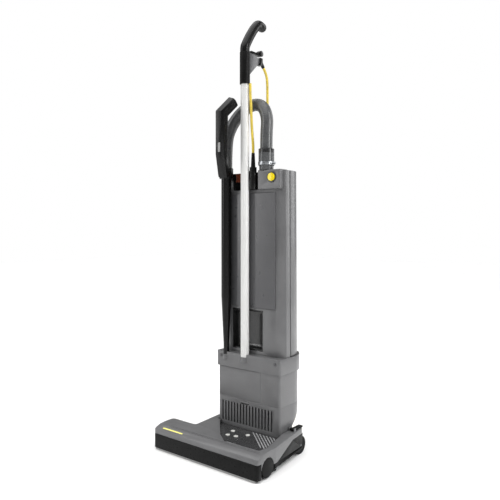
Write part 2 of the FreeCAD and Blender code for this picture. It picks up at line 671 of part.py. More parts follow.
# ---------------------------------------------------------------- motor housing

BODY_BACK = f"({REAR_Y} - collar_proud)"


def rounded_block(name, width, y, z):
    """A block centred on the body with its front and rear upright edges rounded."""
    raw = block(name + "_raw", (f"body_x - {width} / 2", f"body_x + {width} / 2"), y, z)
    front = size(y[0]) + 1
    half = rounded(name + "_front", raw, f"min(front_round; ({width}) / 8)",
                   lambda edge: upright(edge) and edge.CenterOfMass.y < front)
    return rounded(name, half, f"min(rear_round; ({width}) / 2 - 20)",
                   lambda edge: upright(edge) and edge.CenterOfMass.y > size(y[1]) - 1)


def tilt_slope(name, lift):
    """The wedge under the back of the housing that lets it tilt without touching the floor."""
    start, low = f"{HOUSING_Y} + 41 - {lift}", f"{SLOPE_LOW} + {lift}"
    return prism(name, "X", [(start, f"{low} - 1"), (f"{REAR_Y} + 1", f"{low} + 86"),
                             (f"{REAR_Y} + 1", f"{low} - 40"),
                             (start, f"{low} - 40")], ("body_x - housing_width", "body_x + housing_width"))


SLOPE_LOW = "(housing_bottom + 7)"


def motor_housing():
    """Lower housing with the grille and tilt cheeks, upper housing with the filter cover's opening."""
    top = "(collar_bottom + 34)"
    outer = cut("housing_solid", rounded_block("housing_outer", "housing_width", (HOUSING_Y, BODY_BACK),
                                               ("housing_bottom", top)), tilt_slope("slope_outer", "0"))
    inner = cut("housing_space", rounded_block("housing_inner", "(housing_width - 2 * wall)",
                                               (f"{HOUSING_Y} + wall", f"{BODY_BACK} - wall"),
                                               ("housing_bottom + wall", f"{top} + 5")),
                tilt_slope("slope_inner", "wall * 1.3"))
    shell = cut("housing_shell", outer, inner)
    wide = ("body_x - housing_width", "body_x + housing_width")
    deep = (f"{FRONT_Y}", f"{REAR_Y} + 50")
    cheeks = [rod(f"cheek_{i}", "X", "18", span, (PIVOT_Y, "pivot_height")) for i,
              span in enumerate(CHEEKS)]
    arms = [block(f"cheek_arm_{i}", span, (f"{PIVOT_Y} - 16", f"{PIVOT_Y} + 4"),
                  ("pivot_height", "housing_bottom + 24"))
            for i, span in enumerate(CHEEKS)]
    bores = rod("cheek_bore", "X", "6 + running_gap", (WELL_LEFT, WELL_RIGHT), (PIVOT_Y, "pivot_height"))
    slots = [block(f"slot_{i}", (f"body_x - 95 + {i} * slot_pitch",
                                 f"body_x - 95 + {i} * slot_pitch + slot_width"),
                   (f"{HOUSING_Y} - 1", f"{HOUSING_Y} + wall + 1"), ("slot_bottom", "slot_top"))
             for i in range(17)]
    latch_slot = block("latch_slot", LATCH_X, (f"{HOUSING_Y} - 1", f"{HOUSING_Y} + wall + 1"),
                       ("slot_top + 1", "housing_seam - 2"))
    low = common("housing_low", shell, block("below_seam", wide, deep, ("0", "housing_seam - gap")))
    keep(cut("housing_lower", fuse("housing_low_body", low, *cheeks, *arms), bores, *slots, latch_slot))
    opening = block("cover_opening", (f"{COVER_X[0]} - gap", f"{COVER_X[1]} + gap"),
                    (f"{HOUSING_Y} - 1", f"{HOUSING_Y} + wall + 1"),
                    (f"{COVER_Z[0]} - gap", f"{COVER_Z[1]} + gap"))
    high = common("housing_high", shell, block("above_seam", wide, deep, ("housing_seam", top)))
    keep(cut("housing_upper", high, opening))
    return inner


CHEEKS = (("body_x - housing_width / 2", "body_x - housing_width / 2 + 8"),
          ("body_x + housing_width / 2 - 8", "body_x + housing_width / 2"))
COVER_X = ("(body_x - housing_width / 2 + 6)", "(body_x - housing_width / 2 + 6 + cover_width)")
COVER_Z = ("(housing_seam + 3)", "(collar_bottom - 2)")
LATCH_X = ("(body_x - 26)", "(body_x + 4)")


def filter_door():
    """Exhaust filter, its flush cover and the sliding latch below it."""
    keep(block("filter_cover", COVER_X, (HOUSING_Y, f"{HOUSING_Y} + wall"), COVER_Z))
    keep(block("filter_latch", (f"{LATCH_X[0]} + gap", f"{LATCH_X[1]} - gap"),
               (f"{HOUSING_Y} - 1.5", f"{HOUSING_Y} + wall"),
               ("slot_top + 4.5", "housing_seam - 2.3")))
    keep(block("exhaust_filter", (f"{COVER_X[0]} + 8", f"{COVER_X[1]} - 8"),
               (f"{HOUSING_Y} + 6", f"{HOUSING_Y} + 22"),
               (f"{COVER_Z[0]} + 5", f"{COVER_Z[1]} - 5")))


def suction_unit(space):
    """Suction motor, its fan, and the plate and rubber ring that hold it."""
    axis = ("body_x", f"{HOUSING_Y} + 75")
    plate = common("plate_solid", space,
                   block("plate_slab", ("body_x - housing_width", "body_x + housing_width"),
                                               (FRONT_Y, f"{REAR_Y} + 50"),
                         ("collar_bottom + 17", "collar_bottom + 21")))
    keep(cut("motor_plate", plate, rod("plate_hole", "Z", "30", ("collar_bottom", "collar_top"), axis)))
    keep(cut("motor_ring", rod("ring_outer", "Z", "50", ("collar_bottom + 11", "collar_bottom + 17"), axis),
             rod("ring_bore", "Z", "43", ("collar_bottom", "collar_top"), axis)))
    case = rod("motor_case", "Z", "46", ("housing_seam + 11", "collar_bottom + 11"), axis)
    space_above = rod("fan_space", "Z", "42", ("collar_bottom - 8", "collar_top"), axis)
    shaft_bore = rod("shaft_bore", "Z", "4 + running_gap", ("collar_bottom - 40", "collar_top"), axis)
    keep(cut("suction_motor", case, space_above, shaft_bore))
    keep(fuse("motor_fan", rod("fan_disc", "Z", "38", ("collar_bottom - 5", "collar_bottom + 6"), axis),
              rod("fan_shaft", "Z", "4", ("collar_bottom - 38", "collar_bottom + 8"), axis)))


TUBE_FOOT = "(collar_top - 7)"
TUBE_AT = ("tube_x", "tube_y")
WAND_AT = ("wand_x", "wand_y")


def collar():
    """Band between the two housings, with the sockets of the handle tube and the wand."""
    band = rounded_block("collar_band", "(housing_width + 2 * collar_proud)",
                         (f"{HOUSING_Y} - collar_proud", REAR_Y), ("collar_bottom", "collar_top"))
    hole = rounded_block("collar_hole", "(housing_width + 2 * gap)",
                         (f"{HOUSING_Y} - gap", f"{BODY_BACK} + gap"),
                         ("collar_bottom - 1", f"{BAG_FOOT}"))
    bag_way = feature("collar_bag_way", bag_solid(-0.5, size(BAG_FOOT) - 1, size("collar_top") + 1))
    parts = [band]
    for tag, at, radius in (("tube", TUBE_AT, "(tube_radius + 1)"), ("wand", WAND_AT, "9.5")):
        boss = rod(f"{tag}_boss", "Z", radius, ("collar_top - 22", TUBE_FOOT), at)
        parts.append(boss)
    tube_socket = rod("tube_socket", "Z", "tube_radius", (TUBE_FOOT, "collar_top + 2"), TUBE_AT)
    wand_socket = rod("wand_socket", "Z", "8.5", (TUBE_FOOT, "collar_top + 2"), WAND_AT)
    keep(cut("collar", fuse("collar_blank", *parts), hole, bag_way, tube_socket, wand_socket))
    studs = [rod(f"stud_{i}", "Y", "4", (f"{HOUSING_Y} - collar_proud - 2", f"{HOUSING_Y} - collar_proud"),
                 (x, "collar_bottom + 30")) for i, x in enumerate(("body_x - 96", "body_x + 96"))]
    keep(group("collar_studs", *studs))


# ---------------------------------------------------------------- bag housing

def bag_outline(width, y_low, y_high, z, slant, rear):
    """Closed outline in a level plane, with slanting front corners and large round rear ones."""
    middle = size("body_x")
    left, right = middle - width / 2, middle + width / 2
    turn = rear * math.sqrt(0.5)
    corners = [Vector(left, y_low + slant[1], z), Vector(left + slant[0], y_low, z),
               Vector(right - slant[0], y_low, z),
               Vector(right, y_low + slant[1], z), Vector(right, y_high - rear, z),
               Vector(right - rear, y_high, z),
               Vector(left + rear, y_high, z), Vector(left, y_high - rear, z)]
    bends = {4: Vector(right - rear + turn, y_high - rear + turn, z),
             6: Vector(left + rear - turn, y_high - rear + turn, z)}
    edges = []
    for i, corner in enumerate(corners):
        after = corners[(i + 1) % len(corners)]
        if i in bends:
            edges.append(Part.Arc(corner, bends[i], after).toShape())
        else:
            edges.append(Part.LineSegment(corner, after).toShape())
    return Part.Wire(edges)


BAG_FOOT = "(collar_bottom + 34 + gap)"


def bag_solid(inset, bottom, top):
    """The tapered bag housing as a solid, or its inside when inset is the wall."""
    height = size("bag_top") - size(BAG_FOOT)
    y_low, y_high = size(BAG_Y) + 2 + inset, size(REAR_Y) - 6 - inset
    rear = min(size("rear_round") - inset, y_high - y_low - size("slant_depth") - size("wall"))
    rings = []
    for z in (bottom, top):
        share = (z - size(BAG_FOOT)) / height
        width = size("bag_width_low") * (1 - share) + size("bag_width_high") * share
        slant = (size("slant_width") - inset / 4, size("slant_depth") - inset / 4)
        rings.append(bag_outline(width - 2 * inset, y_low, y_high, z, slant, rear))
    return Part.makeLoft(rings, True, True)


def slab(x, y, z):
    """A plain box as a shape, between formulas."""
    low = [size(pair[0]) for pair in (x, y, z)]
    high = [size(pair[1]) for pair in (x, y, z)]
    return Part.makeBox(*[b - a for a, b in zip(low, high)], Vector(*low))


EVERY_X = ("body_x - 300", "body_x + 300")
FACE_X = ("(body_x - face_width / 2 + 4)", "(body_x + face_width / 2 + 4)")
BOX_X = ("(hose_x + 18 - box_width / 2)", "(hose_x + 18 + box_width / 2)")
BOX_BACK = f"({SPLIT_Y} - 3)"
GRIP_SPACE_X = (f"({FACE_X[0]} + 4)", "(body_x + 39)")
GRIP_SPACE_Z = ("(collar_top + 10)", "(face_bottom - 6)")
PLATE_X = ("(body_x - bag_width_high / 2 + 6)", f"({BOX_X[0]} - gap)")


def bag_housing():
    """Front shell with its panel and hand recess, and the rear cover over the bag."""
    wall = size("wall")
    low, top = size(BAG_FOOT), size("bag_top")
    shell = bag_solid(0, low, top).cut(bag_solid(wall, low - 1, top - wall))
    front = shell.common(slab(EVERY_X, (FRONT_Y, f"{SPLIT_Y} - seam / 2"), ("0", "bag_top")))
    rear = shell.common(slab(EVERY_X, (f"{SPLIT_Y} + seam / 2", REAR_Y), ("collar_top + 1", "bag_top")))
    lip_z = ("collar_top + 3", "bag_top - 60")
    inner = bag_solid(wall + 2, low - 1, top)
    for inset, start in ((wall - 1, "seam / 2"), (wall + size("gap"), "0 - seam")):
        lip = bag_solid(inset, low, top).cut(inner)
        rear = rear.fuse(lip.common(slab(EVERY_X, (f"{SPLIT_Y} + ({start})", f"{SPLIT_Y} + seam + 2"),
                                         lip_z)))
    rear = rear.removeSplitter()
    skin = (f"{BAG_Y} - 5", f"{BAG_Y} + wall + 4")
    front = front.cut(slab(FACE_X, (f"{BAG_Y} - 5", f"{BAG_Y} + wall"), ("face_bottom", "face_top")))
    front = front.cut(slab(GRIP_SPACE_X, skin, GRIP_SPACE_Z))
    front = front.cut(slab((f"{PLATE_X[0]} - gap", f"{BOX_X[1]} + gap"), (f"{BAG_Y} - 5", BOX_BACK),
                           ("box_bottom - gap", "bag_top + 1")))
    keep(feature("bag_shell", front))
    keep(feature("rear_cover", rear))
    keep(rounded("front_panel_round", block("front_panel_raw", (f"{FACE_X[0]} + gap", f"{FACE_X[1]} - gap"),
                                            (f"{BAG_Y} - 1", f"{BAG_Y} + wall"),
                                            ("face_bottom + gap", "face_top - gap")),
                 "0.8", lambda edge: edge.CenterOfMass.y < size(BAG_Y) - 0.9), "front_panel")
    tub = block("recess_tub", (f"{GRIP_SPACE_X[0]} + gap", f"{GRIP_SPACE_X[1]} - gap"),
                (f"{BAG_Y} + 2", BOX_BACK),
                (f"{GRIP_SPACE_Z[0]} + gap", f"{GRIP_SPACE_Z[1]} - gap"))
    space = rounded("recess_space", block("recess_raw",
                                          (f"{GRIP_SPACE_X[0]} + wall", f"{GRIP_SPACE_X[1]} - wall"),
                                          (f"{BAG_Y} - 3", f"{BOX_BACK} - wall"),
                                          (f"{GRIP_SPACE_Z[0]} + wall", f"{GRIP_SPACE_Z[1]} - wall")),
                    "12", lambda edge: is_line(edge) and edge.CenterOfMass.y > size(BOX_BACK) - 4)
    keep(cut("hand_recess", tub, space))


def top_fittings():
    """Hose box with its button, switch plate with its rocker, and the catch of the rear cover."""
    box = rounded("hose_box_round", block("hose_box_raw", BOX_X, (f"{BAG_Y} - 2", f"{BOX_BACK} - gap"),
                                          ("box_bottom", "bag_top + 2")), "3",
                  lambda edge: edge.CenterOfMass.y < size(BAG_Y) - 1.9)
    well = rod("button_well", "Y", "button_radius + running_gap + 0.1", (f"{BAG_Y} - 5", f"{BAG_Y} + 9"),
               BUTTON_AT)
    hose_way = rod("hose_way", "Z", "hose_radius - 4.5", ("box_bottom - 1", "bag_top + 3"), HOSE_AT)
    keep(cut("hose_box", box, well, hose_way))
    keep(rod("hose_button", "Y", "button_radius", (f"{BAG_Y} - 6", f"{BAG_Y} + 5"), BUTTON_AT))
    keep(cut("button_ring", rod("ring_disc", "Y", "button_radius + 4.5", (f"{BAG_Y} - 3.5", f"{BAG_Y} - 2"),
                                BUTTON_AT),
             rod("ring_hole", "Y", "button_radius + 0.4", (f"{BAG_Y} - 4", BAG_Y), BUTTON_AT)))
    plate = block("plate_raw", PLATE_X, (f"{BAG_Y} + 12", f"{BOX_BACK} - gap"),
                  ("box_bottom", "bag_top - 2"))
    pocket = block("switch_pocket", (f"{SWITCH_X} - 10.5", f"{SWITCH_X} + 10.5"),
                   (f"{BAG_Y} + 10", f"{BAG_Y} + 24"),
                   (f"{SWITCH_Z} - 15", f"{SWITCH_Z} + 15"))
    pin = rod("switch_pin", "X", "1.5", (f"{SWITCH_X} - 10.5", f"{SWITCH_X} + 10.5"),
              (f"{BAG_Y} + 16", SWITCH_Z))
    keep(fuse("switch_plate", cut("plate_open", plate, pocket), pin))
    rocker = prism("rocker_raw", "X", [
        (f"{BAG_Y} + 19", f"{SWITCH_Z} - 9"), (f"{BAG_Y} + 11.5", f"{SWITCH_Z} - 12.5"),
        (f"{BAG_Y} + 12.5", SWITCH_Z),
        (f"{BAG_Y} + 8.5", f"{SWITCH_Z} + 12.5"), (f"{BAG_Y} + 19", f"{SWITCH_Z} + 9")],
        (f"{SWITCH_X} - 9.8", f"{SWITCH_X} + 9.8"))
    keep(cut("power_switch", rocker, rod("rocker_bore", "X", "1.5 + running_gap",
                                         (f"{SWITCH_X} - 10", f"{SWITCH_X} + 10"),
                                         (f"{BAG_Y} + 16", SWITCH_Z))))
    keep(rounded("catch_round", block("catch_raw", ("body_x - 60", "body_x - 25"),
                                      (f"{SPLIT_Y} - 8", f"{SPLIT_Y} + 14"),
                                      ("bag_top + gap", "bag_top + 6")), "2",
                 lambda edge: edge.CenterOfMass.z > size("bag_top") + 5.9),
         "cover_catch")


HOSE_AT = ("hose_x", "hose_y")
INLET_AT = ("hose_x", "(hose_y + 15)")
BUTTON_AT = (f"({BOX_X[1]} - 27)", "(box_bottom + 33)")
SWITCH_X = "(body_x - 56)"
SWITCH_Z = "(box_bottom + 37)"


def bag():
    """Filter bag, the frame it hangs from, and the tube that fills it."""
    front, back = f"{SPLIT_Y} + 6", f"{REAR_Y} - 24"
    sack = block("bag_raw", ("body_x - 78", "body_x + 78"), (front, back),
                 ("collar_top + 25", "box_bottom - 32"))
    corner = f"min(18; (({back}) - ({front})) / 2 - wall)"
    keep(rounded("bag_round", sack, corner, lambda edge: True), "filter_bag")
    frame = block("bag_frame_raw", ("body_x - 62", "body_x + 62"), (f"{BAG_Y} + 8", f"{REAR_Y} - 26"),
                  ("box_bottom - 30", "box_bottom - 26"))
    hole = rod("frame_hole", "Z", "hose_radius - 1", ("box_bottom - 40", "box_bottom + 1"), INLET_AT)
    inlet = rod("inlet_outer", "Z", "hose_radius + 1.5", ("box_bottom - 38", "box_bottom - 1"), INLET_AT)
    keep(cut("bag_frame", fuse("bag_frame_blank", frame, inlet), hole))


# ---------------------------------------------------------------- hose, wand, handle

def hose_and_cuff():
    """Cuff on the hose box, its clamp with the screw, and the hose over to the wand."""
    foot = "(bag_top + 2)"
    bore = rod("cuff_bore", "Z", "hose_radius - 2", (foot, f"{foot} + 62"), HOSE_AT)
    neck = rod("cuff_neck", "Z", "cuff_radius - 2", (foot, f"{foot} + 12"), HOSE_AT)
    grip = rod("cuff_grip", "Z", "cuff_radius", (f"{foot} + 12", f"{foot} + 60"), HOSE_AT)
    groove = cut("clamp_groove", rod("groove_outer", "Z", "cuff_radius + 5",
                                     (f"{foot} + 14", f"{foot} + 24"), HOSE_AT),
                 rod("groove_inner", "Z", "cuff_radius - 1.5", (f"{foot} + 14", f"{foot} + 24"), HOSE_AT))
    keep(cut("hose_cuff", fuse("cuff_blank", neck, grip), bore, groove))
    band = cut("clamp_band", rod("band_outer", "Z", "cuff_radius + 1", (f"{foot} + 14.3", f"{foot} + 23.7"),
                                 HOSE_AT),
               rod("band_inner", "Z", "cuff_radius - 1.5", (f"{foot} + 14", f"{foot} + 24"), HOSE_AT))
    screw = rod("clamp_screw", "Y", "3.2", ("hose_y - 10", "hose_y + 6"),
                ("hose_x + cuff_radius + 3.6", f"{foot} + 19"))
    keep(group("hose_clamp", band, screw))
    top = size(f"{foot} + 60") + 0.3
    x, y = size("hose_x"), size("hose_y")
    foot_x, foot_y = size("wand_x"), size("wand_y")
    loop = [(x, y, top), (x, y, top + 42), (x + 2, y + 3, top + 90), (x - 20, y + 9, top + 127),
            (x - 58, y + 8, top + 133), (x - 95, y - 5, top + 106), (x - 117, y - 21, top + 62),
            (foot_x, foot_y, top + 20), (foot_x, foot_y, size("wand_top") + 0.3)]
    keep(feature("hose", pipe(loop, size("hose_radius"), 0.49, size("hose_radius - 3"))))


def wand():
    """Suction wand with its loop handle and the pale inlay on the grip."""
    x, y, top = size("wand_x"), size("wand_y"), size("wand_top")
    radius = size("wand_radius")
    foot = size(TUBE_FOOT) + 0.3
    tube = Part.makeCylinder(radius, top - 430, Vector(x, y, 430))
    socket = Part.makeCylinder(size("hose_radius") + 2.5, 30, Vector(x, y, top - 30))
    taper = Part.makeCone(8.2, radius, 430 - foot - 30, Vector(x, y, foot + 30))
    tip = Part.makeCylinder(8.2, 30, Vector(x, y, foot))
    bore = Part.makeCylinder(radius - 3, top, Vector(x, y, 432))
    nozzle = Part.makeCylinder(5, 432, Vector(x, y, foot - 1))
    keep(feature("wand_tube", tube.fuse([socket, taper, tip]).cut(bore).cut(nozzle).removeSplitter()))
    half, corner = 15, 6
    bar = [Vector(x + 6, y - 16, top - 22), Vector(x + 24, y - 48, top + 36),
           Vector(x + 24, y - 48, top + 150),
           Vector(x + 37, y - 14, top + 187)]
    hose_room = Part.makeCylinder(size("hose_radius") + 1, 120, Vector(x, y, top - 1))
    keep(feature("wand_grip", faceted_bar(bar, half, corner).cut(tube).cut(socket).cut(hose_room)))
    keep(feature("grip_inlay", Part.makeBox(8, 1, 26, Vector(x + 23, y - 48 - half - 1.1, top + 40))))


def faceted_bar(path, half, corner):
    """A square bar with cut corners along straight runs, mitred where they meet."""
    ahead = (path[1] - path[0]).normalize()
    side = Vector(1, 0, 0)
    side = (side - ahead * side.dot(ahead)).normalize()
    up = ahead.cross(side)
    flat = half - corner
    ring = [(half, flat), (flat, half), (-flat, half), (-half, flat), (-half, -flat), (-flat, -half),
            (flat, -half),
            (half, -flat)]
    points = [path[0] + side * a + up * b for a, b in ring]
    sweep = Part.BRepOffsetAPI.MakePipeShell(Part.makePolygon(path))
    sweep.add(Part.makePolygon(points + points[:1]))
    sweep.setTransitionMode(1)
    sweep.build()
    sweep.makeSolid()
    return sweep.shape()


def handle():
    """White handle tube, sleeve, curved grip, and the cord hook on its bracket."""
    keep(rod("handle_tube", "Z", "tube_radius", (TUBE_FOOT, "tube_top + 20"), TUBE_AT))
    sleeve = rod("sleeve_raw", "Z", "sleeve_radius", ("tube_top", "sleeve_top"), TUBE_AT)
    keep(cut("handle_sleeve", sleeve, rod("sleeve_bore", "Z", "tube_radius",
                                          ("tube_top - 1", "tube_top + 20"), TUBE_AT)))
    x, y, z = size("tube_x"), size("tube_y"), size("sleeve_top")
    radius = size("grip_radius")
    bend = [(x, y, z), (x, y, z + 16), (x, y + 18, z + 46), (x, y + 42, z + 78), (x, y + 62, z + 97),
            (x, y + 81, z + 92)]
    end = Part.makeSphere(radius - 0.5, Vector(x, y + 81, z + 92))
    keep(feature("handle_grip", pipe(bend, radius, 0.49).fuse(end).removeSplitter()))
    web = prism("bracket_web", "X", [
        ("tube_y + sleeve_radius - 2", "sleeve_top - 64"), ("tube_y + sleeve_radius - 2", "sleeve_top + 3"),
        ("tube_y + 36", "sleeve_top + 3"), ("tube_y + 64", "sleeve_top - 6"),
        ("tube_y + 64", "sleeve_top - 16")],
        ("tube_x - 4", "tube_x + 4"))
    plain = cut("bracket_plain", web, rod("bracket_sleeve", "Z", "sleeve_radius",
                                          ("tube_top", "sleeve_top + 4"), TUBE_AT))
    keep(fuse("hook_bracket", plain, rod("hook_pin", "Z", "2.5", ("sleeve_top - 12", "sleeve_top + 11"),
                                         HOOK_AT)))
    arm = block("hook_arm", ("tube_x - 5", "tube_x + 5"), ("tube_y + 24", "tube_y + 70"),
                ("sleeve_top + 3.5", "sleeve_top + 10"))
    end = rod("hook_end", "X", "8.5", ("tube_x - 7", "tube_x + 7"), ("tube_y + 70", "sleeve_top + 12"))
    keep(cut("cord_hook", fuse("hook_blank", arm, end), rod("hook_bore", "Z", "2.5 + running_gap",
                                                            ("sleeve_top", "sleeve_top + 20"), HOOK_AT)))


HOOK_AT = ("tube_x", "(tube_y + 31)")


# ---------------------------------------------------------------- cords

def cord_fittings():
    """Clip and strain relief on the bracket, and the socket of the short lead."""
    x, y, z = size("tube_x"), size("tube_y"), size("sleeve_top")
    clip = slab(("tube_x - 7", "tube_x + 7"), ("tube_y + 64.3", "tube_y + 76"),
                ("sleeve_top - 22", "sleeve_top - 1"))
    way = Vector(0, 1, -1).normalize()
    start = Vector(x, y + 72, z - 9)
    relief = Part.makeCone(6.2, 4.6, 22, start, way)
    keep(feature("cord_clip", clip.fuse(relief).removeSplitter()))
    foot = size("box_bottom + 1")
    lead_x, lead_y = size("lead_x"), size(BAG_Y) - 3
    body = Part.makeCylinder(10, 62, Vector(lead_x, lead_y, foot))
    arm = slab(("lead_x - 5", "lead_x + 5"), (f"{BAG_Y} - 3", f"{BAG_Y} + 12"),
               ("box_bottom + 4", "box_bottom + 26"))
    relief = Part.makeCone(6.5, 4.6, 40, Vector(lead_x, lead_y, foot + 62))
    keep(feature("lead_socket", body.fuse([arm, relief]).removeSplitter()))
    top = size("tube_top")
    edge = x + size("tube_radius") + 5.5
    lead = [(lead_x, lead_y, foot + 102), (lead_x, lead_y, foot + 128), (lead_x, lead_y - 5, foot + 162),
            (lead_x - 2, y + 5, foot + 202), (edge + 1, y + 3.5, foot + 246), (edge, y + 2.5, top - 30),
            (edge, y + 2.5, top)]
    keep(feature("handle_lead", pipe(lead, size("cord_radius"), 0.45)))
    return start + way * 22


def mains_cord(leave):
    """The free part of the cord from the clip to the floor, its coil, and the plug on the coil."""
    r = size("cord_radius")
    cx, cy = -90, 240
    edge = cx + size("coil_radius") + (size("coil_rows") - 1) * r
    x, y, z = leave
    down = [(x, y, z), (x, y + 14, z - 14), (x - 2, y + 23, z - 36), (x - 6, y + 29, z - 82),
            (x - 11, y + 36, z - 136),
            (x - 17, y + 46, z - 205), (x - 25, y + 59, z - 288), (x - 29, y + 66, z - 372),
            (x - 31, y + 69, z - 462),
            (x - 29, y + 65, z - 552), (x - 31, y + 68, z - 642), (x - 29, y + 69, z - 732),
            (x - 32, y + 66, z - 822),
            (x - 30, y + 68, z - 902), (x - 30, y + 68, z - 972), (edge, y + 71, z - 1030),
            (edge, y + 81, z - 1070),
            (edge, y + 98, 12), (edge, y + 121, 4.2), (edge, cy, 4.2)]
    rows = size("coil_rows")
    ring = rows * r
    outer = Part.makeCylinder(size("coil_radius") + ring, 2 * ring, Vector(cx, cy, 0.2))
    inner = Part.makeCylinder(size("coil_radius") - ring, 2 * ring, Vector(cx, cy, 0.2))
    keep(feature("cord_coil", outer.cut(inner)))
    top = 2 * ring + 0.2
    plug_x, plug_y, plug_z = cx - 22, cy + size("coil_radius"), top + 19.5
    last = [(cx + 52, cy + 10, top - 2), (cx + 44, cy + 34, top + 5), (cx + 26, cy + 55, top + 12),
            (cx + 1, plug_y, plug_z), (plug_x, plug_y, plug_z)]
    keep(feature("mains_cord", Part.makeCompound([pipe(down, r), pipe(last, r)])))
    back = Vector(-1, 0, 0)
    relief = Part.makeCone(4.6, 8, 30, Vector(plug_x, plug_y, plug_z), back)
    body = Part.makeCylinder(19, 34, Vector(plug_x - 30, plug_y, plug_z), back)
    pins = [Part.makeCylinder(2.4, 19, Vector(plug_x - 64, plug_y + side, plug_z), back)
            for side in (-9.5, 9.5)]
    keep(feature("mains_plug", body.fuse([relief] + pins).removeSplitter()))


# ---------------------------------------------------------------- build and write

def build():
    """Make every piece of the cleaner."""
    head_chassis()
    head_cover()
    head_trim()
    brush()
    brush_drive()
    wheels(tilt_pedal())
    neck_duct()
    space = motor_housing()
    filter_door()
    suction_unit(space)
    collar()
    bag_housing()
    top_fittings()
    bag()
    hose_and_cuff()
    wand()
    handle()
    mains_cord(cord_fittings())


def write():
    """Check every object, then write one STEP file for each piece."""
    doc.recompute()
    for item in doc.Objects:
        if "Invalid" in item.State or "Error" in item.State:
            raise RuntimeError(f"{item.Name} did not build: {item.State}")
    os.makedirs("parts", exist_ok=True)
    for item in BUILT:
        shape = item.Shape
        if shape.isNull() or not shape.isValid():
            raise RuntimeError(f"{item.Label} has no valid shape")
        if item.TypeId != "Part::Compound" and len(shape.Solids) != 1 and item.Label not in MANY:
            print("SOLIDS", item.Label, len(shape.Solids))
        shape.exportStep(os.path.join("parts", item.Label + ".step"))
    print(len(BUILT), "pieces")


MANY = {"brush_bristles", "mains_cord"}

build()
write()
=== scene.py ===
import json
import math

import bmesh
import bpy
from mathutils import Matrix, Vector, noise


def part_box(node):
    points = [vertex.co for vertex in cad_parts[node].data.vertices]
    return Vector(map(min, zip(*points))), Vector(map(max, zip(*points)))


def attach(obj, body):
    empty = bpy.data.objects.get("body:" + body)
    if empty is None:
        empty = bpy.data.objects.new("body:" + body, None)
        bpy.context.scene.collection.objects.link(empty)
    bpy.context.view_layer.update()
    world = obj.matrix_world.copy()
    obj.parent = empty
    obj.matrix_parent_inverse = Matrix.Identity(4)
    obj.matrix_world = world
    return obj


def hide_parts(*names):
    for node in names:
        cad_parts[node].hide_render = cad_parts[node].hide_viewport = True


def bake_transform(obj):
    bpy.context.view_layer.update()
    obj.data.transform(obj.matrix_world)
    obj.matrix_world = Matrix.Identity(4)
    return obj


bl_info = {
    "name": "Upright vacuum cleaner",
    "version": (1, 0, 0),
    "blender": (4, 5, 0),
    "location": "3D View > Sidebar > Cleaner",
    "description": "Builds the looks of an upright vacuum cleaner on its packed frame",
    "category": "Object",
}

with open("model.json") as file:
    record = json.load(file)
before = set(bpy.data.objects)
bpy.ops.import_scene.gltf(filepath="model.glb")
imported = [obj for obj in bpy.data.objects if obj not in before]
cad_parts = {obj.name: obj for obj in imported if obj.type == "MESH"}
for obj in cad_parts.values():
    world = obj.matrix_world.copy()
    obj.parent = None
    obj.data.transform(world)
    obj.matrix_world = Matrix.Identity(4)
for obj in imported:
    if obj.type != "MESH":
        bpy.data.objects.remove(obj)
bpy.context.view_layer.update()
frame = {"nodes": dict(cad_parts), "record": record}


# ---------------------------------------------------------------- settings

# The photo's view: lens and film width in millimetres, place in metres, turn in degrees.
LENS = 41.04
FILM_WIDTH = 36.0
SHIFT_UP = -0.048
CAMERA_PLACE = (1.02707, -1.25912, 0.6332)
CAMERA_TURN = 37.94

# The studio, in metres and degrees. The room is dimmer than the backdrop that the camera sees.
FLOOR_HALF = 6.0
FLOOR_MIDDLE = (-2.0, 2.6, 0.0)
ROOM_STRENGTH = 0.25
BACKDROP_STRENGTH = 1.0
SUN_ENERGY = 3.0
SUN_ANGLE = 85
SUN_TILT = (14, -6)
LIT_POINT = (0.03, 0.05, 0.55)
# Name, place, width, height and power of each soft box.
SOFT_BOXES = (
    ("Key", (-1.5, -1.7, 1.3), 0.4, 2.2, 16),
    ("Side", (2.0, 0.2, 1.2), 0.3, 2.2, 32),
    ("Back", (0.9, 1.8, 1.4), 0.6, 2.0, 12))

# Heights in millimetres where a moulding changes its colour, and how soon it has changed.
# Above PANEL_TOP the ribs and the lip of the indicator panel are pale grey, as a painted highlight.
PANEL_TOP = 60.2
CUFF_RING = 838.0
COLOUR_STEP = 0.5

# Edges that turn by more than this many degrees are rounded, in so many steps. Vertices that lie
# closer together than this distance in metres are made one first.
SHARP_ANGLE = 32
EDGE_STEPS = 3
MERGE_DISTANCE = 1e-6

# Where the mains cord leaves its relief, and its route down from there, in millimetres.
CORD_EXIT = (22.0, 94.06, 1100.44)
CORD_DROP = (
    (0, 0, 0), (0, 14, -14), (-2, 23, -36), (-6, 29, -82), (-11, 36, -136), (-17, 46, -205),
    (-25, 59, -288), (-29, 66, -372), (-31, 69, -462), (-29, 65, -552), (-31, 68, -642),
    (-29, 69, -732), (-32, 66, -822), (-30, 68, -902), (-30, 68, -972))
# Distance behind the exit and height over the floor, where the cord comes down to the coil.
CORD_LANDING = ((71, 70.44), (81, 30.44), (98, 12), (121, 4.2))
# The coil, in millimetres: its centre, its middle ring, and the share of a turn spent on one ring.
COIL_CENTRE = (-90.0, 240.0)
COIL_MIDDLE = 67.5
COIL_ROWS = 5
COIL_POINTS = 16
COIL_STAY = 0.75
COIL_FLOOR_GAP = 0.3
COIL_TOP_GAP = 0.2
# From the last turn up into the plug, from the coil's centre and over its top.
PLUG_LEAD = ((52, 10, -2), (44, 34, 5), (26, 55, 12), (1, COIL_MIDDLE, 19.5), (-22, COIL_MIDDLE, 19.5))
# Steps between two points of the route, and in each quarter of the cord's round section.
CORD_STEPS = 6
CORD_ROUND_STEPS = 3

